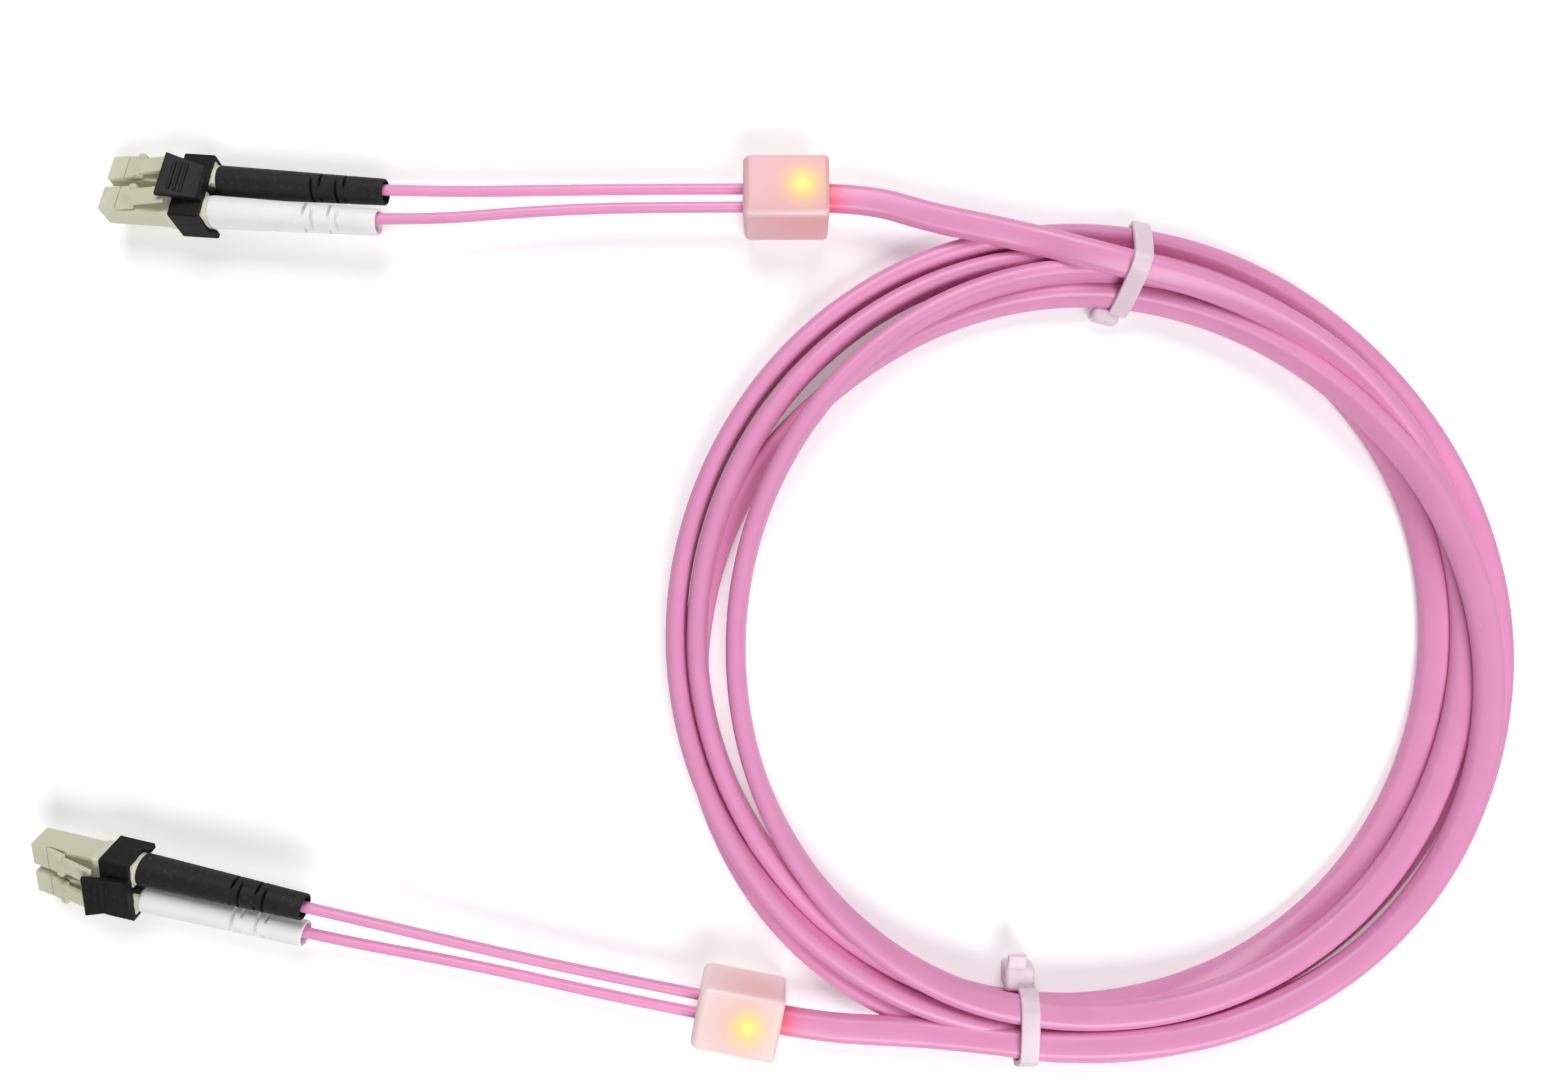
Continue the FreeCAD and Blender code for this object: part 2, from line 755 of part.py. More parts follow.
def trigger(doc, label, placement):
    """Lever over both latch arms, hinged at the clip's rear edge, with grip ribs across its top."""
    frame = leaning(
        placement,
        (CLIP_FRONT + TRIGGER_AXIS_X).value,
        TRIGGER_AXIS_Z.value,
        size("trigger_rise").value,
    )
    body = new_body(doc, label, frame)
    root = new_sketch(body, "XZ_Plane")
    circle(root, 0, 0, size("trigger_knuckle"))
    pad(body, root, size("trigger_root_width"))
    plate = new_sketch(body, "XY_Plane")
    front = -size("trigger_length")
    narrow = size("trigger_root_width") / 2
    wide = size("trigger_front_width") / 2
    outline(plate, [(0, -narrow), (0, narrow), (front, wide), (front, -wide)])
    pad(body, plate, size("trigger_thickness"))
    across = Vector(0, 1, 0)
    round_edges(
        body,
        size("clip_edge"),
        lambda edge: straight_along(edge, across) and abs(edge.CenterOfMass.x - front.value) < 1e-4,
    )
    ribs = new_sketch(body, "XZ_Plane")
    base = size("trigger_thickness") / 4
    crest = size("trigger_thickness") / 2 + size("rib_height")
    for rib in range(3):
        start = -size("rib_first") - size("rib_step") * rib
        rectangle(ribs, start - size("rib_width"), start, base, crest)
    pad(body, ribs, size("trigger_root_width") - size("rib_margin"))
    return body


def light_block(doc, label, placement):
    """Moulded block with two leg holes in one end, the oval cable in the other and the tracer's hole."""
    body = new_body(doc, label, placement)
    half = size("block_width") / 2
    length = size("block_length")
    section = new_sketch(body, "YZ_Plane")
    rectangle(section, -half, half, -half, half)
    pad(body, section, length, "One side")
    along = Vector(1, 0, 0)
    round_edges(body, size("block_edge"), lambda edge: straight_along(edge, along))
    bevel_edges(body, size("block_leg_end_edge"), lambda edge: at_x(edge, 0))
    bevel_edges(body, size("block_cable_end_edge"), lambda edge: at_x(edge, length.value))
    legs = new_sketch(body, "YZ_Plane")
    for side in SIDES.values():
        hole_radius = (size("leg_radius") + size("leg_hole_gap")) / math.cos(math.pi / CORD_SIDES)
        regular_polygon(legs, CORD_SIDES, hole_radius, size("leg_spacing") / 2 * side)
    pocket(body, legs, size("leg_hole_depth"), "One side", inwards=True)
    cable = new_sketch(body, "YZ_Plane", length)
    gap = size("cable_hole_gap") * 2
    slot(cable, size("cable_width") + gap, size("cable_thickness") + gap)
    pocket(body, cable, size("cable_hole_depth"), "One side")
    tracer = new_sketch(body, "YZ_Plane", length)
    regular_polygon(tracer, TRACER_SIDES, size("tracer_radius"))
    pocket(body, tracer, size("cable_hole_depth") + size("tracer_length"), "One side")
    return body


def tracer_tip(doc, label, placement):
    """End of the light-carrying fibre, which stands out of the cable inside the block."""
    body = new_body(doc, label, placement)
    rear = size("block_length") - size("cable_hole_depth")
    section = new_sketch(body, "YZ_Plane", rear - size("tracer_length"))
    regular_polygon(section, TRACER_SIDES, size("tracer_radius"))
    pad(body, section, size("tracer_length"), "One side")
    return body


def bundle_section(middle, spread, stretch=1.0):
    """Outline of the tied bundle, upright below and drawn in above, grown by spread on every side."""
    lean = math.atan2(SIZES["coil_width"] / 2 - SIZES["coil_top_width"] / 2,
                      SIZES["coil_height"] - SIZES["coil_shoulder"])
    half = size("coil_width") / 2 * stretch + spread
    top_half = size("coil_top_width") / 2 * stretch + spread * math.tan(math.pi / 4 - lean / 2)
    low = size("coil_lift") - spread
    shoulder = size("coil_lift") + size("coil_shoulder") + spread * math.tan(lean / 2)
    high = size("coil_lift") + size("coil_height") + spread
    return [
        (middle - half, low),
        (middle + half, low),
        (middle + half, shoulder),
        (middle + top_half, high),
        (middle - top_half, high),
        (middle - half, shoulder),
    ]


def coil_frame():
    return Placement(Vector(SIZES["coil_x"], SIZES["coil_y"], 0), Rotation())


def cable_coil(doc, label):
    """Outer shape of all the turns together."""
    body = new_body(doc, label, coil_frame())
    section = new_sketch(body, "XZ_Plane")
    outline(section, bundle_section(size("coil_inner_radius") + size("coil_width") / 2, as_size(0.0)))
    turn(body, section, axis="V_Axis")
    return body


def cable_tie(doc, label, coil):
    """Strap round the bundle with its ratchet head on the coil's inner side and a short cut tail."""
    middle = SIZES["coil_inner_radius"] + SIZES["coil_width"] / 2
    skew = SIZES[f"{label}_skew"]
    around = Placement(Vector(), Rotation(Vector(0, 0, 1), SIZES[f"{label}_angle"]))
    across = Placement(Vector(middle, 0, 0), Rotation(Vector(0, 0, 1), skew))
    body = new_body(doc, f"{label}_whole", coil_frame() * around * across)
    stretch = 1 / math.cos(math.radians(skew))
    none = as_size(0.0)
    loop = new_sketch(body, "XZ_Plane")
    outline(loop, bundle_section(none, size("tie_gap"), stretch))
    outline(loop, bundle_section(none, size("tie_gap") + size("tie_thickness"), stretch))
    pad(body, loop, size("tie_width"))
    inner = -size("coil_width") / 2 * stretch - size("tie_gap") - size("tie_thickness") / 2
    head_low = size("coil_lift") - size("tie_gap")
    head_high = head_low + size("tie_head_height")
    head = new_sketch(body, "XZ_Plane")
    rectangle(head, inner - size("tie_head_thickness"), inner, head_low, head_high)
    pad(body, head, size("tie_head_length"))
    tail = new_sketch(body, "XZ_Plane")
    outer = inner - size("tie_head_thickness") / 2
    tail_high = head_high + size("tie_tail_length")
    rectangle(tail, outer - size("tie_thickness"), outer, head_low + size("tie_head_edge"), tail_high)
    pad(body, tail, size("tie_width"))
    tie = doc.addObject("Part::Cut", label)
    tie.Label = label
    tie.Base = body
    tie.Tool = coil
    return tie


def rounded_path(points):
    """A route as straight runs joined by tangent arcs, each as large as its two runs allow."""
    points = [Vector(*point) for point in points]
    edges = []
    radii = []
    start = points[0]
    for before, corner, after in zip(points, points[1:], points[2:]):
        incoming = (corner - before).normalize()
        outgoing = (after - corner).normalize()
        half_turn = incoming.getAngle(outgoing) / 2
        tangent = ARC_SHARE * min((corner - before).Length, (after - corner).Length)
        radius = tangent / math.tan(half_turn)
        inwards = (outgoing - incoming).normalize()
        centre = corner + inwards * (radius / math.cos(half_turn))
        entry = corner - incoming * tangent
        leave = corner + outgoing * tangent
        edges.append(Part.LineSegment(start, entry).toShape())
        edges.append(Part.Arc(entry, centre - inwards * radius, leave).toShape())
        start = leave
        radii.append(radius)
    edges.append(Part.LineSegment(start, points[-1]).toShape())
    return Part.Wire(edges), radii


def cord_section(width, thickness):
    """Many-sided outline of a round or oval cord, drawn flat in YZ."""
    reach = (width - thickness) / 2
    radius = thickness / 2
    corners = []
    for i in range(CORD_SIDES):
        angle = 2 * math.pi * (i + 0.5) / CORD_SIDES
        across = math.copysign(reach, math.cos(angle)) + radius * math.cos(angle)
        corners.append(Vector(0, across, radius * math.sin(angle)))
    return Part.makePolygon(corners + corners[:1])


def tube(doc, label, points, section, roll=0.0):
    """A cord's tube: its section carried along the route from a start that is level across, then rolled."""
    path, radii = rounded_path(points)
    heading = (Vector(*points[1]) - Vector(*points[0])).normalize()
    level = Vector(0, 0, 1).cross(heading).normalize()
    facing = Rotation(heading, level, heading.cross(level), "XYZ") * Rotation(Vector(1, 0, 0), roll)
    section.Placement = Placement(Vector(*points[0]), facing)
    piece = doc.addObject("Part::Feature", label)
    piece.Label = label
    piece.Shape = path.makePipe(Part.Face(section))
    ratio = piece.Shape.Volume / (Part.Face(section).Area * path.Length)
    shown = ", ".join(f"{radius:.0f}" for radius in radii)
    print(f"{label}: length {path.Length:.1f} mm, bend radii {shown} mm, volume ratio {ratio:.4f}")
    if abs(ratio - 1) > VOLUME_TOLERANCE:
        raise RuntimeError(f"{label} has the wrong volume")
    return piece


def cable_lead(doc, label, points, roll, coil):
    """The cable between a block and the coil, trimmed where it joins the coil's side."""
    section = cord_section(SIZES["cable_width"], SIZES["cable_thickness"])
    lead = doc.addObject("Part::Cut", label)
    lead.Label = label
    lead.Base = tube(doc, f"{label}_whole", points, section, roll)
    lead.Tool = coil
    return lead


def plug_pieces(doc, end, side, placement):
    makers = {
        "plug_housing": plug_housing,
        "latch_arm": latch_arm,
        "ferrule": ferrule,
        "ferrule_holder": ferrule_holder,
        "ferrule_spring": ferrule_spring,
        "rear_body": rear_body,
        "crimp_sleeve": crimp_sleeve,
    }
    pieces = [make(doc, f"{name}_{end}_{side}", placement) for name, make in makers.items()]
    quarter = Rotation(Vector(1, 0, 0), 0 if side == "black" else 90)
    pieces.append(boot(doc, f"boot_{end}_{side}", placement * Placement(Vector(), quarter)))
    return pieces


def build(doc):
    coil = cable_coil(doc, "cable_coil")
    pieces = [coil]
    pieces += [cable_tie(doc, label, coil) for label in ("tie_upper", "tie_lower")]
    for end in ENDS:
        block = pose(f"block_{end}")
        pieces.append(light_block(doc, f"light_block_{end}", block))
        pieces.append(tracer_tip(doc, f"tracer_tip_{end}", block))
        plugs = pose(f"plugs_{end}")
        pieces.append(duplex_clip(doc, f"duplex_clip_{end}", plugs))
        pieces.append(trigger(doc, f"trigger_{end}", plugs))
        for side, sign in SIDES.items():
            plug = shifted(plugs, y=sign * SIZES["plug_pitch"] / 2)
            pieces += plug_pieces(doc, end, side, plug)
            leg = cord_section(SIZES["leg_radius"] * 2, SIZES["leg_radius"] * 2)
            pieces.append(tube(doc, f"leg_{end}_{side}", LEG_ROUTES[end, side], leg))
        roll = SIZES[f"block_{end}_roll"]
        pieces.append(cable_lead(doc, f"cable_lead_{end}", LEAD_ROUTES[end], roll, coil))
    return pieces


def check(doc, pieces):
    """Stop unless every object computed and every piece is a single sound solid."""
    failed = [o.Label for o in doc.Objects if {"Invalid", "Error"} & set(o.State)]
    for piece in pieces:
        shape = piece.Shape
        if shape.isNull() or not shape.isValid() or len(shape.Solids) != 1:
            failed.append(piece.Label)
    if failed:
        raise RuntimeError(f"not built: {failed}")


def main():
    doc = FreeCAD.newDocument("fibre_patch_cord")
    make_sheet(doc)
    pieces = build(doc)
    doc.recompute()
    check(doc, pieces)
    os.makedirs("parts", exist_ok=True)
    for piece in pieces:
        piece.Shape.exportStep(f"parts/{piece.Label}.step")


main()
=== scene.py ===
import json
import math

import bmesh
import bpy
import numpy as np
from bpy.props import FloatProperty, FloatVectorProperty, IntProperty, PointerProperty
from mathutils import Euler, Matrix, Vector

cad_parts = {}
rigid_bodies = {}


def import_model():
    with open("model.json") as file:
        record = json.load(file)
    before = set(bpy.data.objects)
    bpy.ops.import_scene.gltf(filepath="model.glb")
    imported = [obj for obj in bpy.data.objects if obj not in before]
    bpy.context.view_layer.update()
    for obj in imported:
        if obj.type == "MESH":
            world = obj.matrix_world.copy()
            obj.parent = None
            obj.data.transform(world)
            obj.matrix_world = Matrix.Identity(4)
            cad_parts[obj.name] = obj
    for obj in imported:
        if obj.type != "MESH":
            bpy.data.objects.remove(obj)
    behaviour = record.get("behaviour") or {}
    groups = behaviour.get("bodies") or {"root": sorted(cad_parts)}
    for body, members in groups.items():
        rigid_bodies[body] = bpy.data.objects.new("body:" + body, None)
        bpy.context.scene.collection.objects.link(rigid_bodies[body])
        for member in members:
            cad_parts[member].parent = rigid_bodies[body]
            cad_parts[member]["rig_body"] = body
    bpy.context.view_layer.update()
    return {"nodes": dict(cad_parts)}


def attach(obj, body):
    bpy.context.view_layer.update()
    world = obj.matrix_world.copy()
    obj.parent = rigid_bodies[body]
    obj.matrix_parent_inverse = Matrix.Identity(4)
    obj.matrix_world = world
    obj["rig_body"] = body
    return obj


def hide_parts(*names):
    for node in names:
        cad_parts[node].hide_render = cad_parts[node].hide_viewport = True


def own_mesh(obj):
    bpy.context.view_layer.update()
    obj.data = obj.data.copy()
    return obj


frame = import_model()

bl_info = {
    "name": "Fibre patch cord",
    "version": (1, 0, 0),
    "blender": (4, 5, 0),
    "location": "View3D > Sidebar > Patch cord",
    "description": "Dresses a duplex fibre patch cord with its cable, ties, light blocks, boots and finishes",
    "category": "Object",
}

# Lengths are in metres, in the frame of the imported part, except where a comment says millimetres.
# A plug's own frame has +X from its front face to the rear and +Z towards its latch arm.

MM = 0.001
BODY = "cord"
ENDS = ("a", "b")
# The two plugs of an end by the colour of their boots, with the side of the plugs' frame that each is on.
SIDES = {"black": 1, "white": -1}
UP = np.array([0.0, 0.0, 1.0])
WHITE = (1.0, 1.0, 1.0, 1.0)

# The photograph's view, straight down from above the table, and where the two lamps hang.
IMAGE_WIDTH = 1545
FOCAL_PIXELS = 1244
SENSOR_WIDTH = 36.0
CAMERA_PLACE = (0.05903, 0.0103, 0.221)
CLIP_START = 0.01
STAGE_MIDDLE = (0.06, 0.0, 0.0)
LAMP_SIZE = 0.5
NEAR_LAMP_PLACE = (0.25, -0.55, 0.62)
FAR_LAMP_PLACE = (0.05, 0.60, 0.62)

# Routes in millimetres: of the legs, from plug to block, and of the cable's two leads, out of their blocks.
LEG_ROUTES = {
    ("a", "black"): [(-32.49, 72.92, 4.58), (-5.59, 70.95, 5.71), (34.03, 71.53, 6.09), (58.93, 71.53, 6.09)],
    ("a", "white"): [
        (-32.97, 67.1, 6.79), (-6.11, 65.25, 7.9), (20.93, 67.75, 6.9), (41.03, 68.27, 6.65),
        (58.93, 68.27, 6.65),
    ],
    ("b", "black"): [
        (-44.48, -46.42, 7.98), (-18.17, -52.02, 9.63), (24.75, -63.39, 6.12), (51.15, -68.52, 6.12),
    ],
    ("b", "white"): [
        (-45.46, -51.84, 5.03), (-19.14, -57.44, 6.67), (7.63, -62.4, 6.3), (32.96, -68.34, 5.88),
        (50.53, -71.75, 5.88),
    ],
}
LEAD_ROUTES = {
    "a": [
        (64.63, 69.9, 6.37), (75.33, 69.9, 6.37), (86.03, 66.6, 6.45), (96.53, 64.45, 6.6),
        (105.63, 62.3, 6.9),
    ],
    "b": [(56.44, -71.22, 6.0), (66.93, -73.26, 6.0), (79.03, -74.1, 5.5), (89.03, -74.8, 5.2)],
}
# How much paler the legs' jacket is than the cable's.
LEG_PALER = 1.1
# How far each lead's line starts inside its block, and how its oval leans there, in degrees.
LEAD_INSIDE = 4.0 * MM
LEAD_LEANS = {"a": -9.7, "b": 4.0}

# The coil in millimetres and degrees, turn by turn from lead a, with a point every COIL_STEP. First the
# radius of the cable's middle as the camera sees it at SIGHT_HEIGHT, then about how many layers of cable lie
# under it, and then the lean of the oval, from flat at 0 to on edge at 90.
COIL_MIDDLE = (113.33, -7.3)
COIL_START = 90.0
COIL_STEP = -22.5
TURN_POINTS = 16
SIGHT_HEIGHT = 5.0
COIL_RADII = [
    [66.5, 65.5, 66.5, 66.5, 66.0, 65.5, 65.5, 65.0, 64.5, 64.5, 63.0, 61.5, 60.5, 61.0, 62.5, 64.0],
    [65.0, 64.0, 62.5, 62.0, 60.5, 60.0, 60.5, 61.5, 62.5, 64.5, 65.5, 66.5, 67.5, 67.5, 68.0, 68.0],
    [67.0, 66.0, 66.0, 66.5, 67.5, 67.0, 66.0, 65.5, 66.5, 68.5, 69.5, 70.5, 71.0, 71.5, 72.0, 72.0],
    [70.5, 69.5, 69.0, 70.0, 71.5, 72.5, 72.5, 70.5, 70.0, 70.5, 71.5, 70.0, 67.5, 65.5, 62.0, 61.0],
    [61.0, 61.0, 62.5, 66.5, 70.0, 72.5, 72.5, 71.0, 69.0],
]
COIL_LAYERS = [
    [1.5, 1.5, 1.5, 1, 1, 1, 1, 1, 1, 1, 1, 0.5, 0.5, 1, 1.5, 1],
    [0.5, 0, 0, 0, 0, 0, 0, 0, 0, 0, 0, 0.5, 1, 1, 0.5, 0],
    [0, 0, 0, 0, 0, 0, 0, 0, 0, 0, 0.5, 1, 0.5, 0, 0, 0],
    [0] * TURN_POINTS,
    [0, 0.5, 1.5, 2, 1.5, 1, 1, 1, 1.5],
]
COIL_LEANS = [
    [20, 40, 55, 45, 25, 15, 15, 20, 15, 35, 65, 85, 85, 80, 75, 70],
    [60, 60, 55, 45, 25, 15, 15, 40, 70, 60, 65, 85, 85, 80, 75, 70],
    [60, 60, 55, 45, 25, 15, 15, 50, 80, 75, 65, 85, 85, 80, 75, 70],
    [50, 40, 35, 30, 20, 10, 5, 25, 60, 40, 15, 20, 30, 40, 75, 70],
    [60, 60, 55, 40, 25, 15, 15, 20, 15],
]
# How the turns settle on each other: the number of steps, and the shares of an overlap, of a kink in height
# and of a drift from the seen radius that one step takes away.
SETTLE_STEPS = 300
PUSH_UP = 0.2
PUSH_ASIDE = 0.05
EASE_HEIGHT = 0.05
DRAW_BACK = 0.05
# In millimetres, how far a step lets the turns sink, how far they stay off the table, and the least distance.
SINK = 0.01
TABLE_GAP = 0.05
LEAST_APART = 1e-6
# The points of a turn beside a tie, where its strap lies under the cable.
TIE_POINTS = [0, 1, 8, 9]

# How finely curves and corners are divided, and a bar's end rounding over the least corner that it leaves.
SPLINE_RESOLUTION = 20
CORNER_STEPS = 7
EDGE_OVER_CORNER = 9
# How a copied node's points are merged, and which of its edges are flat or sharp.
MERGE_DISTANCE = 1e-6
FLAT_ANGLE = math.radians(1.0)
SHARP_ANGLE = math.radians(35.0)
# How far the edges of moulded pieces are rounded.
EDGE_PLUG = 0.12 * MM
EDGE_LATCH = 0.08 * MM
EDGE_FERRULE = 0.05 * MM
EDGE_CLIP = 0.14 * MM
EDGE_SEGMENTS = 2
# How far a block's light reaches along the jacket, and how much of the jacket's colour it takes.
LIT_REACH = 3.0 * MM
LIT_SHARE = 0.8
# A boot's round ends, the points round it, a slit's width over its lip's, and the least cosine in its cut.
BOOT_RIM = 0.3 * MM
BOOT_SIDES = 72
SLIT_OVER_LIP = 9
LEAST_COSINE = 0.01

# Where each light block lies: the middle of its leg end, in millimetres, and its yaw, pitch and roll.
BLOCK_PLACES = {"a": (54.03, 69.9, 6.37), "b": (46.03, -69.2, 6.0)}
BLOCK_TURNS = {"a": (0.0, 0.0, -9.7), "b": (-11.0, 0.0, 4.0)}
# How far the light guide's tip lies from a block's leg end, and how deep under its top.
TIP_DEPTHS = {"a": 10.1 * MM, "b": 9.1 * MM}
TIP_COVER = 2.5 * MM
# Where each pair of plugs lies: the middle of its front, in millimetres, and its yaw, pitch and roll.
PLUG_PLACES = {"a": (-55.67, 71.7, 4.72), "b": (-67.47, -44.35, 5.1)}
PLUG_TURNS = {"a": (-4.2, -2.4, -20.8), "b": (-12.0, -3.5, 28.3)}
# How far each boot is turned on its plug, in degrees from where the front slit of a pair opens sideways.
BOOT_TURNS = {("a", "black"): 145.0, ("a", "white"): 55.0, ("b", "black"): -25.0, ("b", "white"): 65.0}
# Where each tie lies: its angle round the coil and how far it is skewed from square, in degrees, and how far
# from the coil's middle its strap is, in millimetres.
TIE_PLACES = {"tie_upper": (83.0, -7.0), "tie_lower": (261.0, 8.0)}
TIE_RADIUS = 66.6
# The strap's points, how far from its middle it looks for cable, and over how many points it is eased.
TIE_SIDES = 120
TIE_REACH = 13.0 * MM
TIE_EASE = 8
# In shares of half the strap's thickness: how far it stands off the cable, its corners and its tail's ends.
TIE_STAND_OFF = 1.3
TIE_CORNER = 0.5
TIE_TAIL_EDGE = 0.4
# How round the head is, how deep in it the tail starts, and how far the tail leans from upright.
TIE_HEAD_EDGE = 0.9 * MM
TIE_TAIL_DEPTH = 1.5 * TIE_HEAD_EDGE
TIE_TAIL_LEAN = math.radians(70.0)
# Each tie's head in millimetres: along and across the coil and high, how far it slips along the coil
# and stands off the table, and how long its cut tail is.
TIE_HEADS = {"tie_upper": (4.8, 2.5, 3.4, -1.8, 0.2, 1.2), "tie_lower": (5.2, 4.6, 5.2, 1.2, 1.0, 4.6)}


def size_property(name, description, millimetres):
    """A length that is given in millimetres and held in metres."""
    return FloatProperty(name=name, description=description, default=millimetres * MM, unit="LENGTH")


def colour_property(name, description, colour):
    """A linear colour without alpha."""
    return FloatVectorProperty(name=name, description=description, default=colour, subtype="COLOR", size=3)


class CableProperties(bpy.types.PropertyGroup):
    """The pink cable, its legs and the coil's ties."""

    width: size_property("Cable width", "Across the oval jacket", 5.0)
    thickness: size_property("Cable thickness", "Through the oval", 3.3)
    length: size_property("Cable length", "From block to block", 1980.0)
    sides: IntProperty(name="Jacket sides", description="Points round the jacket", default=32, min=12)
    leg_diameter: size_property("Leg diameter", "Of a thin leg", 1.9)
    leg_sides: IntProperty(name="Leg sides", description="Points round a leg", default=24, min=8)
    tie_width: size_property("Tie width", "Across the strap", 3.2)
    tie_thickness: size_property("Tie thickness", "Of the strap", 1.0)
    jacket: colour_property("Jacket", "Heather pink jacket", (0.82, 0.32, 0.57))
    lit: colour_property("Lit jacket", "Light in the jacket at a block", (0.88, 0.12, 0.20))
    nylon: colour_property("Nylon", "Natural cable ties", (0.85, 0.70, 0.79))


class ConnectorProperties(bpy.types.PropertyGroup):
    """The plugs, their clip and their boots."""

    pitch: size_property("Plug pitch", "Between two plugs", 6.25)
    boot_front: size_property("Boot start", "From the front face", 18.7)
    boot_length: size_property("Boot length", "Along the plug", 29.0)
    boot_front_radius: size_property("Boot front", "Radius", 2.8)
    boot_rear_radius: size_property("Boot rear", "Radius", 2.25)
    mouth_radius: size_property("Boot mouth", "Radius", 1.8)
    mouth_depth: size_property("Mouth depth", "From the rear", 4.5)
    neck_radius: size_property("Boot neck", "Radius", 1.3)
    bore_radius: size_property("Boot bore", "Over the crimp", 2.06)
    bore_depth: size_property("Bore depth", "From the front", 6.0)
    slit_width: size_property("Slit width", "Of a boot's slit", 0.45)
    slit_floor: size_property("Slit floor", "From the axis", 1.1)
    slit_least: size_property("Slit's least", "From the axis", 1.4)
    slit_first: size_property("First slit", "From the rear", 6.8)
    slit_step: size_property("Slit step", "Within a pair", 1.45)
    slit_pair_step: size_property("Pair step", "Between pairs", 4.3)
    beige: colour_property("Plug", "Beige plug plastic", (0.70, 0.70, 0.52))
    pale: colour_property("Rear body", "Paler rear body", (0.74, 0.74, 0.60))
    black: colour_property("Black", "Black clip", (0.010, 0.010, 0.011))
    rubber: colour_property("Black boot", "Soft black boot", (0.018, 0.018, 0.019))
    white: colour_property("White", "White boot", (0.96, 0.96, 0.95))
    ceramic: colour_property("Ferrule", "White ceramic", (0.82, 0.82, 0.80))
    nickel: colour_property("Ferrule holder", "Plated metal", (0.70, 0.68, 0.64))
    steel: colour_property("Spring", "Spring steel", (0.62, 0.62, 0.63))
    crimp: colour_property("Crimp sleeve", "Plated metal", (0.66, 0.62, 0.52))


class BlockProperties(bpy.types.PropertyGroup):
    """The milky light blocks."""

    width: size_property("Block width", "Each way across", 11.4)
    length: size_property("Block length", "Along the cord", 14.6)
    edge: size_property("Long edges", "Radius", 1.4)
    leg_edge: size_property("Leg end's edge", "Radius", 1.3)
    cable_edge: size_property("Cable end's edge", "Radius", 0.8)
    core_radius: size_property("Core", "Bright spot's radius", 0.75)
    halo_radius: size_property("Halo", "Yellow light's radius", 2.9)
    haze_radius: size_property("Haze", "Red light's radius", 8.0)
    # Milky plastic with painted light: block a's pink is painted red light from its tip, and block b is
    # painted paler where more light falls on it.
    milk_and_painted_light_a: colour_property("Milky plastic a", "Block a", (0.74, 0.45, 0.50))
    milk_and_painted_light_b: colour_property("Milky plastic b", "Block b, paler", (0.94, 0.80, 0.81))
    rose_a: colour_property("Lit plastic a", "Block a near the tip", (0.66, 0.33, 0.35))
    rose_b: colour_property("Lit plastic b", "Block b near the tip", (0.74, 0.47, 0.45))
    # A painted highlight: the long edges are painted paler, where they catch the light.
    painted_edge_highlight: colour_property("Frosted edges", "Long edges", (0.92, 0.82, 0.83))
    # Painted light: the yellow halo of light round the tip, painted into the base colour.
    painted_halo_amber: colour_property("Halo colour", "Plastic round the tip", (0.72, 0.62, 0.10))
    faint_light: colour_property("Faint light", "Past the haze", (0.08, 0.06, 0.06))
    haze_light: colour_property("Haze light", "Far from the tip", (0.20, 0.06, 0.06))
    halo_light: colour_property("Halo light", "Round the tip", (0.22, 0.23, 0.01))
    core_light: colour_property("Core light", "At the tip", (0.40, 0.46, 0.12))


class StageProperties(bpy.types.PropertyGroup):
    """The table top and its light."""

    floor_size: size_property("Floor size", "Side of the floor", 3000.0)
    floor: colour_property("Floor", "White table top", (0.93, 0.93, 0.93))
    lift: FloatProperty(name="Floor lift", description="Added white where the camera sees it", default=0.28)
    near_edge: size_property("Fade start", "Where the floor turns white", 200.0)
    far_edge: size_property("Fade end", "Where the floor is white", 450.0)
    near: FloatProperty(name="Near lamp", description="Over the near side", default=5.2, unit="POWER")
    far: FloatProperty(name="Far lamp", description="Over the far side", default=4.6, unit="POWER")
    sky: FloatProperty(name="Sky", description="Even light from all round", default=0.10)


def math_pair(operation):
    """A Python operator and its reflected form, which add a Math node for that operation."""

    def plain(self, other):
        return self.math(operation, self, other)

    def reflected(self, other):
        return self.math(operation, other, self)

    return plain, reflected


class Wire:
    """A socket that takes part in Python arithmetic; every operator adds one Math node."""

    def __init__(self, tree, socket=None):
        self.tree = tree
        self.socket = socket

    def node(self, kind, settings=None, inputs=None, output=0):
        """Adds a node of that type; settings are set first, then the inputs get their values or links."""
        made = self.tree.nodes.new(kind)
        for name, value in (settings or {}).items():
            setattr(made, name, value)
        for name, value in (inputs or {}).items():
            if isinstance(value, Wire):
                self.tree.links.new(value.socket, made.inputs[name])
            else:
                made.inputs[name].default_value = value
        return Wire(self.tree, made.outputs[output] if made.outputs else None)

    def math(self, operation, *values):
        """Adds a Math node for that operation on values or wires."""
        return self.node("ShaderNodeMath", {"operation": operation}, dict(enumerate(values)))

    __add__, __radd__ = math_pair("ADD")
    __sub__, __rsub__ = math_pair("SUBTRACT")
    __mul__, __rmul__ = math_pair("MULTIPLY")
    __truediv__, __rtruediv__ = math_pair("DIVIDE")
    __pow__, __rpow__ = math_pair("POWER")


def opaque(colour):
    """A colour with an alpha of 1."""
    return (*colour, 1.0)


def shaded(colour, factor):
    """A colour made darker or lighter by a factor."""
    return tuple(min(1.0, channel * factor) for channel in colour)


def new_finish(name):
    """A new material, a wire that starts in its empty node tree, and the Object coordinates there."""
    material = bpy.data.materials.new(name)
    material.use_nodes = True
    material.node_tree.nodes.clear()
    start = Wire(material.node_tree)
    return material, start, start.node("ShaderNodeTexCoord", output="Object")


def noise(start, place, scale, detail=3.0, roughness=0.5):
    """Noise from 0 to 1, with about that many waves to each unit of place."""
    inputs = {"Vector": place, "Scale": scale, "Detail": detail, "Roughness": roughness}
    return start.node("ShaderNodeTexNoise", inputs=inputs)


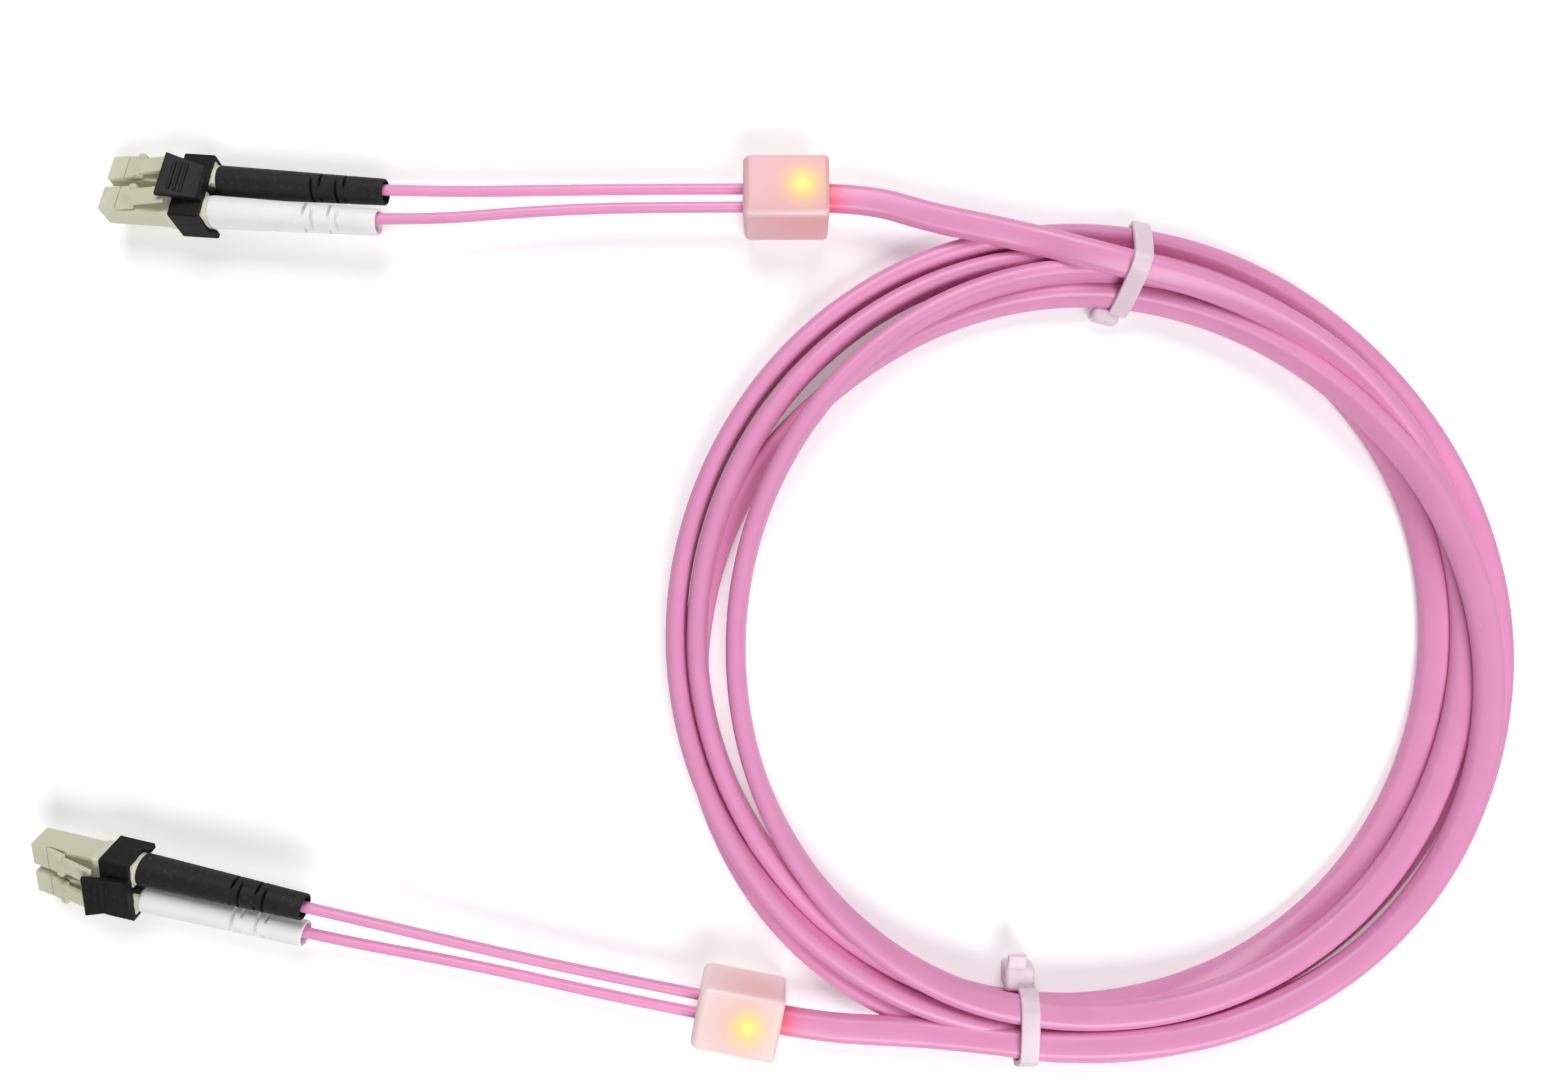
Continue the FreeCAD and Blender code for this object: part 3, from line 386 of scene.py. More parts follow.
def graded(start, value, low, high, top):
    """A value's rise from low to high as one from 0 to top."""
    limits = {"From Min": low, "From Max": high, "To Min": 0.0, "To Max": top}
    return start.node("ShaderNodeMapRange", inputs={"Value": value} | limits)


def distance(start, place, other):
    """How far a place is from another."""
    return start.node("ShaderNodeVectorMath", {"operation": "DISTANCE"}, {0: place, 1: other}, output=1)


def mixed(start, factor, low, high):
    """Mixes two colours, or the wires that carry them, by a factor."""
    low, high = (value if isinstance(value, Wire) else opaque(value) for value in (low, high))
    return start.node("ShaderNodeMix", {"data_type": "RGBA"}, {0: factor, 6: low, 7: high}, output=2)


def bump(start, height, strength, depth):
    """A normal from a height of 0 to 1 that is that deep in metres."""
    return start.node("ShaderNodeBump", inputs={"Height": height, "Strength": strength, "Distance": depth})


def close_finish(material, start, inputs):
    """Ends a finish in one Principled shader with those inputs."""
    shader = start.node("ShaderNodeBsdfPrincipled", inputs=inputs)
    start.node("ShaderNodeOutputMaterial", inputs={"Surface": shader})
    return material


def jacket_finish(name, colour, depth, lit=(), glow=None):
    """Satin jacket: cloudy colour, lengthwise draw lines of that depth and a few pale scuffs. Round the two
    places in lit, lengths along the cord, it turns to the colour glow as exp(-(d / LIT_REACH)^2)."""
    material, start, place = new_finish(name)
    along = start.node("ShaderNodeUVMap", {"uv_map": "cord"})
    stretch = start.node("ShaderNodeMapping", inputs={"Vector": along, "Scale": (60.0, 40.0, 1.0)})
    cloud = noise(start, place, 90.0, 2.0)
    lines = noise(start, stretch, 1.0, 2.0)
    scuff = noise(start, place, 700.0, 4.0, 0.65)
    worn = graded(start, scuff, 0.66, 0.74, 0.35)
    body = mixed(start, cloud, shaded(colour, 0.93), shaded(colour, 1.06))
    tone = mixed(start, worn, body, shaded(colour, 1.25))
    relief = bump(start, lines * 0.6 + scuff * 0.4, 0.25, depth)
    rough = 0.28 + cloud * 0.10 + worn * 0.3
    if lit:
        length = start.node("ShaderNodeSeparateXYZ", inputs={0: along}, output=1)
        first, last = (start.math("EXPONENT", ((length - at) / LIT_REACH) ** 2 * -1) for at in lit)
        tone = mixed(start, (first + last) * LIT_SHARE, tone, glow)
    inputs = {"Base Color": tone, "Roughness": rough, "Normal": relief, "Specular IOR Level": 0.45}
    return close_finish(material, start, inputs)


def moulded_finish(name, colour, rough, grain, depth, shine=0.4, milk=0.0, wear=1.12):
    """Moulded plastic: slight cloudiness, sparked grain with that many waves to a metre and that deep, specks
    paler by the factor wear, and rubbed spots that shine. Milk is how much light goes under its surface."""
    material, start, place = new_finish(name)
    cloud = noise(start, place, 220.0, 3.0)
    sparks = noise(start, place, grain, 3.0, 0.6)
    speck = noise(start, place, 1300.0, 4.0, 0.7)
    rubbed = noise(start, place, 480.0, 2.0)
    worn = graded(start, speck, 0.56, 0.70, 0.6)
    body = mixed(start, cloud, shaded(colour, 0.91), shaded(colour, 1.07))
    tone = mixed(start, worn, body, shaded(colour, wear))
    inputs = {"Base Color": tone, "Roughness": rough - 0.08 + rubbed * 0.16 + worn * 0.1}
    inputs |= {"Normal": bump(start, sparks, 0.5, depth), "Specular IOR Level": shine}
    inputs |= {"Subsurface Weight": milk, "Subsurface Scale": 1.0 * MM, "Subsurface Radius": (1.0, 1.0, 1.0)}
    return close_finish(material, start, inputs)


def metal_finish(name, colour, roughness):
    """Plated metal with fine turning marks."""
    material, start, place = new_finish(name)
    marks = noise(start, place, 3000.0, 2.0)
    inputs = {"Base Color": opaque(colour), "Metallic": 1.0, "Roughness": roughness + marks * 0.12}
    return close_finish(material, start, inputs | {"Normal": bump(start, marks, 0.2, 0.01 * MM)})


def glow_finish(name, props, end):
    """Milky plastic lit from the light guide's tip, which lies TIP_COVER under the top. The light is painted,
    as emission and as rose and amber in the base colour. It falls off as exp(-(d / radius)^2), where d^2 is
    the distance from the tip squared less TIP_COVER squared. In the block's own frame the long edges, where
    both |y| and |z| are large, are painted paler: a painted highlight."""
    material, start, place = new_finish(name)
    yaw, pitch, roll = (math.radians(turn) for turn in BLOCK_TURNS[end])
    lie = {"Location": tuple(np.array(BLOCK_PLACES[end]) * MM), "Rotation": (roll, pitch, yaw)}
    local = start.node("ShaderNodeMapping", {"vector_type": "TEXTURE"}, {"Vector": place} | lie)
    half = props.width / 2
    away = distance(start, local, (TIP_DEPTHS[end], 0.0, half - TIP_COVER)) / MM
    spread = start.math("MAXIMUM", away * away - (TIP_COVER / MM) ** 2, 0.0)
    core, halo, haze = (
        start.math("EXPONENT", spread * -((MM / radius) ** 2))
        for radius in (props.core_radius, props.halo_radius, props.haze_radius)
    )
    side = start.node("ShaderNodeSeparateXYZ", inputs={0: local}, output=1)
    rise = start.node("ShaderNodeSeparateXYZ", inputs={0: local}, output=2)
    # Painted highlight: rim paints the long edges paler.
    inner = start.math("MINIMUM", start.math("ABSOLUTE", side), start.math("ABSOLUTE", rise))
    rim = graded(start, inner, half - props.edge, half - props.edge * 0.3, 0.6)
    cloud = noise(start, place, 260.0, 3.0)
    # The milky colours hold painted light, and rose is painted red light near the tip.
    milk, rose = (props.milk_and_painted_light_a, props.rose_a) if end == "a" else (props.milk_and_painted_light_b, props.rose_b)
    milk = mixed(start, cloud, shaded(milk, 0.96), shaded(milk, 1.04))
    rosy = mixed(start, haze, milk, rose)
    # Painted light in the base colour: the amber halo round the tip, and the painted highlight on the long
    # edges.
    tone = mixed(start, rim, mixed(start, halo * 0.9, rosy, props.painted_halo_amber), props.painted_edge_highlight)
    light = mixed(start, haze, props.faint_light, props.haze_light)
    light = mixed(start, halo, light, props.halo_light)
    light = mixed(start, core, light, props.core_light)
    inputs = {"Base Color": tone, "Roughness": 0.30 + cloud * 0.12, "Emission Color": light}
    inputs |= {"Emission Strength": 1.0, "Specular IOR Level": 0.5}
    inputs |= {"Subsurface Weight": 0.2, "Subsurface Scale": 1.5 * MM, "Subsurface Radius": (1.0, 0.8, 0.8)}
    return close_finish(material, start, inputs)


def in_scene(name, data):
    """A new object of that data at the origin of the scene."""
    made = bpy.data.objects.new(name, data)
    bpy.context.scene.collection.objects.link(made)
    return made


def new_piece(name, points, quads, triangles, uv=None):
    """A mesh object at the origin from points and faces; uv holds a place for each quad's corner."""
    mesh = bpy.data.meshes.new(name)
    mesh.from_pydata(points.tolist(), [], quads.tolist() + triangles)
    if uv is not None:
        layer = mesh.uv_layers.new(name="cord")
        places = np.zeros((len(mesh.loops), 2))
        places[: uv.size // 2] = uv.reshape(-1, 2)
        layer.data.foreach_set("uv", places.ravel())
    mesh.polygons.foreach_set("use_smooth", np.ones(len(mesh.polygons), bool))
    mesh.update()
    piece = in_scene(name, mesh)
    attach(piece, BODY)
    return piece


def ring_quads(rings, sides, looped):
    """Quads between neighbouring rings of points, wound so that they face away from the path."""
    ring = np.arange(rings if looped else rings - 1)[:, None]
    side = np.arange(sides)[None, :]
    after = (ring + 1) % rings
    beside = (side + 1) % sides
    corners = [ring * sides + side, ring * sides + beside, after * sides + beside, after * sides + side]
    return np.stack(np.broadcast_arrays(*corners), axis=-1).reshape(-1, 4)


def end_fans(rings, sides):
    """Triangles from the last two points, the middles of the first and the last ring, to those rings."""
    side = np.arange(sides)
    beside = (side + 1) % sides
    last = (rings - 1) * sides
    middle = np.full(sides, rings * sides)
    first_fan = np.stack([beside, side, middle], axis=-1)
    last_fan = np.stack([last + side, last + beside, middle + 1], axis=-1)
    return np.concatenate([first_fan, last_fan])


def joined_rings(name, shells, uv=None):
    """One mesh of skins over rings (ring, side, xyz); each is a closed loop or has fans on its ends."""
    points, quads, fans = [], [], []
    for rings, looped in shells:
        start = sum(len(group) for group in points)
        quads.append(ring_quads(*rings.shape[:2], looped) + start)
        points.append(rings.reshape(-1, 3))
        if not looped:
            points.append(rings[[0, -1]].mean(axis=1))
            fans += (end_fans(*rings.shape[:2]) + start).tolist()
    return new_piece(name, np.concatenate(points), np.concatenate(quads), fans, uv)


def cord_skin(name, rings, along):
    """A closed skin over a cord's rings, with the turn and the length along as its UV map."""
    side = np.arange(rings.shape[1])
    turn = np.stack([side, side + 1, side + 1, side], axis=-1)[None] / len(side)
    ends = np.stack([along[:-1], along[:-1], along[1:], along[1:]], axis=-1)[:, None]
    return joined_rings(name, [(rings, False)], np.stack(np.broadcast_arrays(turn, ends), axis=-1))


def dress(piece, material, slot, *nodes):
    """Gives a piece its one material and hides the CAD nodes that it stands for. Its slot is not used."""
    piece.data.materials.clear()
    piece.data.materials.append(material)
    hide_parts(*nodes)
    return piece


def softened(node, slot, material, round_edge=0.0):
    """A merged copy of a CAD node that stands for it, smooth on its curves and with its edges rounded."""
    source = frame["nodes"][node]
    shape = bmesh.new()
    shape.from_mesh(source.data)
    bmesh.ops.remove_doubles(shape, verts=shape.verts, dist=MERGE_DISTANCE)
    bmesh.ops.dissolve_limit(shape, angle_limit=FLAT_ANGLE, verts=shape.verts, edges=shape.edges)
    mesh = bpy.data.meshes.new(f"{node}_finished")
    shape.to_mesh(mesh)
    shape.free()
    if "custom_normal" in mesh.attributes:
        mesh.attributes.remove(mesh.attributes["custom_normal"])
    mesh.polygons.foreach_set("use_smooth", np.ones(len(mesh.polygons), bool))
    mesh.set_sharp_from_angle(angle=SHARP_ANGLE)
    piece = in_scene(f"{node}_finished", mesh)
    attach(piece, source["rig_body"])
    if round_edge:
        edges = piece.modifiers.new("edges", "BEVEL")
        edges.width = round_edge
        edges.segments = EDGE_SEGMENTS
        edges.limit_method = "ANGLE"
        edges.angle_limit = SHARP_ANGLE
        edges.harden_normals = True
    return dress(piece, material, slot, node)


def placed(points, place, turns):
    """Points of a piece's own frame, in metres, turned by yaw, pitch and roll and moved to its place."""
    yaw, pitch, roll = (math.radians(turn) for turn in turns)
    turned = np.array(Euler((roll, pitch, yaw), "XYZ").to_matrix())
    return points @ turned.T + np.array(place) * MM


def rounded_rectangle(half_wide, half_high, radius):
    """Outline of a rectangle with round corners: each corner's middle + radius (cos t, sin t)."""
    quarter = np.linspace(0, math.pi / 2, CORNER_STEPS)
    turn = (np.arange(4)[:, None] * math.pi / 2 + quarter).ravel()
    corners = np.array([(1, 1), (-1, 1), (-1, -1), (1, -1)]).repeat(CORNER_STEPS, axis=0)
    inner = np.array([half_wide - radius, half_high - radius])
    return corners * inner + radius * np.column_stack([np.cos(turn), np.sin(turn)])


def bar_outlines(half_wide, half_high, corner, length, edges):
    """Outlines along a bar with round ends: drawn in by edge (1 - sin q) at edge (1 - cos q) from an end.
    A corner that is drawn in keeps at least the smaller edge over EDGE_OVER_CORNER."""
    quarter = np.linspace(0, math.pi / 2, CORNER_STEPS)
    first, last = (edge * (1 - np.sin(quarter)) for edge in edges)
    start, end = (edge * (1 - np.cos(quarter)) for edge in edges)
    insets = np.concatenate([first, last[::-1]])
    places = np.concatenate([start, length - end[::-1]])
    least = min(edges) / EDGE_OVER_CORNER
    outlines = [rounded_rectangle(half_wide - i, half_high - i, max(corner - i, least)) for i in insets]
    return np.array(outlines), places


def spline_line(points):
    """Points along a smooth NURBS spline that has the route's points as its control points."""
    curve = bpy.data.curves.new("route", "CURVE")
    curve.dimensions = "3D"
    curve.resolution_u = SPLINE_RESOLUTION
    spline = curve.splines.new("NURBS")
    spline.points.add(len(points) - 1)
    spline.points.foreach_set("co", np.column_stack([points, np.ones(len(points))]).ravel())
    spline.order_u = 3
    spline.use_endpoint_u = True
    holder = bpy.data.objects.new("route", curve)
    mesh = bpy.data.meshes.new_from_object(holder)
    line = np.empty(len(mesh.vertices) * 3)
    mesh.vertices.foreach_get("co", line)
    bpy.data.meshes.remove(mesh)
    bpy.data.curves.remove(curve)
    return line.reshape(-1, 3)


def unit(vectors):
    """Vectors with their lengths made 1."""
    return vectors / np.linalg.norm(vectors, axis=-1, keepdims=True)


def run_lengths(line):
    """How far along a line each of its points is: the lengths of the steps before it added up."""
    return np.concatenate([[0.0], np.cumsum(np.linalg.norm(np.diff(line, axis=0), axis=1))])


def cord_rings(line, width, thickness, leans, sides):
    """A flat oval carried along a line: middle + level (w cos a - h sin a) + over (w sin a + h cos a), with
    a the oval's lean from level. Round the oval w = r cos t + s and h = r sin t, with r half of the
    thickness and s, which has the sign of cos t, half of what the width has more."""
    heading = unit(np.gradient(line, axis=0))
    level = unit(np.cross(UP, heading))
    over = np.cross(heading, level)
    turn = np.linspace(0, 2 * math.pi, sides, endpoint=False)
    end = np.sign(np.round(np.cos(turn), 6)) * (width - thickness) / 2
    wide = thickness / 2 * np.cos(turn) + end
    high = thickness / 2 * np.sin(turn)
    lean = np.radians(leans)[:, None]
    across = wide * np.cos(lean) - high * np.sin(lean)
    up = wide * np.sin(lean) + high * np.cos(lean)
    return line[:, None] + across[..., None] * level[:, None] + up[..., None] * over[:, None]


def coil_turns(rows):
    """A list of rows as an array with a turn in each row, where the last turn ends in empty values."""
    values = np.concatenate(rows)
    turns = np.full(len(rows) * TURN_POINTS, np.nan)
    turns[:len(values)] = values
    return turns.reshape(-1, TURN_POINTS)


def settled_coil(props):
    """The radii and heights of the coil's points once its turns lie on the table and on each other.
    An oval counts as three circles in a row along its lean. In each step, circles of two turns that overlap
    push those turns apart, heights are eased along the cable and sink, and radii are drawn back to the seen
    ones. A seen radius r means a true one of r - (r + d) (z - s) / (e - s), with z the point's height, s the
    height of sight, e the camera's, and d how far the coil's middle is from the camera that way."""
    thick = props.thickness / MM
    spots = np.array([-0.5, 0.0, 0.5]) * (props.width - props.thickness) / MM
    seen = coil_turns(COIL_RADII)
    leans = np.radians(coil_turns(COIL_LEANS))[..., None]
    wide = np.cos(leans) * spots
    high = np.sin(leans) * spots
    lowest = thick / 2 + high.max(axis=-1) + TABLE_GAP
    lowest[:, TIE_POINTS] += props.tie_thickness / MM
    turned = np.radians(COIL_START + COIL_STEP * np.arange(TURN_POINTS))
    away = np.array(COIL_MIDDLE) - np.array(CAMERA_PLACE[:2]) / MM
    reach = seen + away[0] * np.cos(turned) + away[1] * np.sin(turned)
    drop = CAMERA_PLACE[2] / MM - SIGHT_HEIGHT
    other_turns = 1.0 - np.eye(len(seen))[:, :, None, None, None]
    count = len(np.concatenate(COIL_RADII))
    radii = seen
    heights = lowest + coil_turns(COIL_LAYERS) * thick
    for _ in range(SETTLE_STEPS):
        across = radii[..., None] + wide
        up = heights[..., None] + high
        aside = across[:, None, :, :, None] - across[None, :, :, None, :]
        above = up[:, None, :, :, None] - up[None, :, :, None, :]
        apart = np.hypot(aside, above) + LEAST_APART
        overlap = np.maximum(thick - apart, 0.0) * other_turns / apart
        radii = radii + PUSH_ASIDE * np.nansum(overlap * aside, axis=(1, 3, 4))
        heights = heights + PUSH_UP * np.nansum(overlap * above, axis=(1, 3, 4))
        line = heights.ravel()[:count]
        line[1:-1] += EASE_HEIGHT * ((line[:-2] + line[2:]) / 2 - line[1:-1])
        heights = np.maximum(heights - SINK, lowest)
        radii = radii + DRAW_BACK * (seen - reach * (heights - SIGHT_HEIGHT) / drop - radii)
    return radii.ravel()[:count], heights.ravel()[:count]


def cable_route(props):
    """The cable's control points in metres, and its lean at each, from block a through the coil to block b.
    A point of the coil is its middle + r (cos t, sin t). The spline of a ring of such points runs at
    r (3 + cos s) / 4, with s the step between two, so r is made that much larger."""
    radii, heights = settled_coil(props)
    radii = radii * (4 / (3 + math.cos(math.radians(COIL_STEP))))
    leans = np.concatenate(COIL_LEANS)
    turned = np.radians(COIL_START + COIL_STEP * np.arange(len(leans)))
    coil = np.column_stack([radii * np.cos(turned), radii * np.sin(turned), heights]) + [*COIL_MIDDLE, 0.0]
    lead_a = np.array(LEAD_ROUTES["a"])
    lead_b = np.array(LEAD_ROUTES["b"])[::-1]
    turn_in = np.linspace(LEAD_LEANS["a"], leans[0], len(lead_a))
    turn_out = np.linspace(leans[-1], LEAD_LEANS["b"], len(lead_b))
    return np.concatenate([lead_a, coil, lead_b]) * MM, np.concatenate([turn_in, leans, turn_out])


def cable_skin(props):
    """The cable's line, the length along it and the rings of its jacket."""
    points, point_leans = cable_route(props)
    line = spline_line(points)
    along = run_lengths(line)
    reach = run_lengths(points)
    leans = np.interp(along / along[-1], reach / reach[-1], point_leans)
    return line, along, cord_rings(line, props.width, props.thickness, leans, props.sides)


class PATCHCORD_OT_cable(bpy.types.Operator):
    """Lays the oval cable from one light block through the tied coil to the other"""

    bl_idname = "patchcord.cable"
    bl_label = "Cable"

    def execute(self, context):
        props = context.scene.patchcord_cable
        line, along, rings = cable_skin(props)
        cable = cord_skin("cable", rings, along)
        lit = (LEAD_INSIDE, along[-1] - LEAD_INSIDE)
        finish = jacket_finish("cable_jacket", props.jacket, depth=0.06 * MM, lit=lit, glow=props.lit)
        dress(cable, finish, "jacket", "cable_coil", "cable_lead_a", "cable_lead_b")
        return {"FINISHED"}


class PATCHCORD_OT_legs(bpy.types.Operator):
    """Lays the four thin legs between the blocks and the boots"""

    bl_idname = "patchcord.legs"
    bl_label = "Legs"

    def execute(self, context):
        props = context.scene.patchcord_cable
        finish = jacket_finish("leg_jacket", shaded(props.jacket, LEG_PALER), depth=0.03 * MM)
        for (end, side), route in LEG_ROUTES.items():
            line = spline_line(np.array(route[::-1]) * MM)
            across = props.leg_diameter
            rings = cord_rings(line, across, across, np.zeros(len(line)), props.leg_sides)
            leg = cord_skin(f"thin_leg_{end}_{side}", rings, run_lengths(line))
            dress(leg, finish, "jacket", f"leg_{end}_{side}")
        return {"FINISHED"}


class PATCHCORD_OT_ties(bpy.types.Operator):
    """Straps the coil with two cable ties, each with its head and cut tail on the inner side"""

    bl_idname = "patchcord.ties"
    bl_label = "Ties"

    def execute(self, context):
        props = context.scene.patchcord_cable
        skin = cable_skin(props)[2].reshape(-1, 3)
        nylon = moulded_finish("tie_nylon", props.nylon, rough=0.42, grain=900, depth=0.04 * MM, milk=0.2)
        for name, (angle, skew) in TIE_PLACES.items():
            turns = math.radians(angle), math.radians(angle + skew)
            tie = self.tie(f"{name}_nylon", props, skin, *turns, np.array(TIE_HEADS[name]) * MM)
            dress(tie, nylon, "tie", name)
        return {"FINISHED"}

    def tie(self, name, props, skin, angle, facing, sizes):
        """A tie at an angle round the coil, facing a little off it: its strap, its head and its cut tail."""
        deep, wide, high, slip, lift, cut = sizes
        middle = np.array([*COIL_MIDDLE, 0.0]) * MM
        middle += TIE_RADIUS * MM * np.array([math.cos(angle), math.sin(angle), 0.0])
        across = np.array([math.cos(facing), math.sin(facing), 0.0])
        along = np.cross(across, UP)
        half = props.tie_thickness / 2
        strap, inner = self.strap(props, skin - middle, across, along)
        seat = middle + across * (inner + half - wide / 2) + UP * lift + along * slip
        head, heights = bar_outlines(deep / 2, wide / 2, TIE_HEAD_EDGE, high, (TIE_HEAD_EDGE, TIE_HEAD_EDGE))
        head = seat + head[..., :1] * along + head[..., 1:] * across + heights[:, None, None] * UP
        ends = (half * TIE_TAIL_EDGE, half * TIE_TAIL_EDGE)
        tail, runs = bar_outlines(props.tie_width / 2, half, half * TIE_CORNER, cut, ends)
        rise = UP * math.cos(TIE_TAIL_LEAN) - across * math.sin(TIE_TAIL_LEAN)
        face = across * math.cos(TIE_TAIL_LEAN) + UP * math.sin(TIE_TAIL_LEAN)
        root = seat + UP * (high - TIE_TAIL_DEPTH) + along * slip / 2
        tail = root + tail[..., :1] * along + tail[..., 1:] * face + runs[:, None, None] * rise
        return joined_rings(name, [(strap + middle, True), (head, False), (tail, False)])

    def strap(self, props, offsets, across, along):
        """A flat strap on the convex outline of the turns, and how far in it reaches. The outline's point in
        direction n is the skin's furthest along n and a little more, eased by a mean over neighbours."""
        half = props.tie_thickness / 2
        near = (np.abs(offsets @ along) < props.tie_width / 2) & (np.abs(offsets @ across) < TIE_REACH)
        flat = np.column_stack([offsets[near] @ across, offsets[near, 2]])
        turn = np.linspace(0, 2 * math.pi, TIE_SIDES, endpoint=False)
        outward = np.column_stack([np.cos(turn), np.sin(turn)])
        line = flat[np.argmax(flat @ outward.T, axis=0)] + outward * half * TIE_STAND_OFF
        line = np.mean([np.roll(line, step, axis=0) for step in range(-TIE_EASE, TIE_EASE + 1)], axis=0)
        line[:, 1] = np.maximum(line[:, 1], half)
        section = rounded_rectangle(props.tie_width / 2, half, half * TIE_CORNER)
        plane = line[:, None] + section[None, :, 1:] * outward[:, None]
        strap = plane[..., :1] * across + plane[..., 1:] * UP + section[None, :, :1] * along
        return strap, line[:, 0].min()


class PATCHCORD_OT_blocks(bpy.types.Operator):
    """Finishes the two milky light blocks and the light guide's tips in them"""

    bl_idname = "patchcord.blocks"
    bl_label = "Light blocks"

    def execute(self, context):
        props = context.scene.patchcord_block
        for end in ENDS:
            glow = glow_finish(f"light_block_{end}", props, end)
            dress(self.block(end, props), glow, "block", f"light_block_{end}")
            softened(f"tracer_tip_{end}", "tracer", glow)
        return {"FINISHED"}

    def block(self, end, props):
        """A square bar along X with all its edges round, those of the leg end more than the cable end's."""
        half = props.width / 2
        ends = (props.leg_edge, props.cable_edge)
        outlines, along = bar_outlines(half, half, props.edge, props.length, ends)
        along = np.broadcast_to(along[:, None, None], (*outlines.shape[:2], 1))
        rings = placed(np.concatenate([along, outlines], axis=-1), BLOCK_PLACES[end], BLOCK_TURNS[end])
        return joined_rings(f"milky_block_{end}", [(rings, False)])


class PATCHCORD_OT_plugs(bpy.types.Operator):
    """Finishes the plugs: housings, latch arms, rear bodies and what they hold"""

    bl_idname = "patchcord.plugs"
    bl_label = "Plugs"

    def execute(self, context):
        props = context.scene.patchcord_connector
        plastic = {"rough": 0.46, "grain": 2200, "depth": 0.024 * MM, "milk": 0.08}
        fine = {"rough": 0.22, "grain": 6000, "depth": 0.004 * MM, "shine": 0.6}
        beige = moulded_finish("plug_beige", props.beige, **plastic)
        pale = moulded_finish("rear_body_pale", props.pale, **plastic)
        ceramic = moulded_finish("ferrule_ceramic", props.ceramic, **fine)
        nickel = metal_finish("holder_metal", props.nickel, roughness=0.30)
        steel = metal_finish("spring_steel", props.steel, roughness=0.26)
        crimp = metal_finish("crimp_metal", props.crimp, roughness=0.34)
        for end in ENDS:
            for side in SIDES:
                plug = f"{end}_{side}"
                softened(f"plug_housing_{plug}", "plug", beige, EDGE_PLUG)
                softened(f"latch_arm_{plug}", "plug", beige, EDGE_LATCH)
                softened(f"rear_body_{plug}", "plug", pale, EDGE_PLUG)
                softened(f"ferrule_{plug}", "ceramic", ceramic, EDGE_FERRULE)
                softened(f"ferrule_holder_{plug}", "metal", nickel)
                softened(f"crimp_sleeve_{plug}", "metal", crimp)
                spring = softened(f"ferrule_spring_{plug}", "spring", steel)
                self.press(spring, f"ferrule_{plug}_push", end)
        return {"FINISHED"}

    def press(self, spring, joint, end):
        """Reads a spring's points and gives the spring its own copy of its mesh."""
        points = np.empty(len(spring.data.vertices) * 3)
        spring.data.vertices.foreach_get("co", points)
        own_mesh(spring)


class PATCHCORD_OT_clips(bpy.types.Operator):
    """Finishes the black duplex clips and their ribbed triggers"""

    bl_idname = "patchcord.clips"
    bl_label = "Clips"

    def execute(self, context):
        props = context.scene.patchcord_connector
        plastic = {"rough": 0.50, "grain": 2600, "depth": 0.02 * MM, "shine": 0.18, "wear": 3.5}
        black = moulded_finish("clip_black", props.black, **plastic)
        for end in ENDS:
            softened(f"duplex_clip_{end}", "clip", black, EDGE_CLIP)
            softened(f"trigger_{end}", "clip", black, EDGE_CLIP)
        return {"FINISHED"}


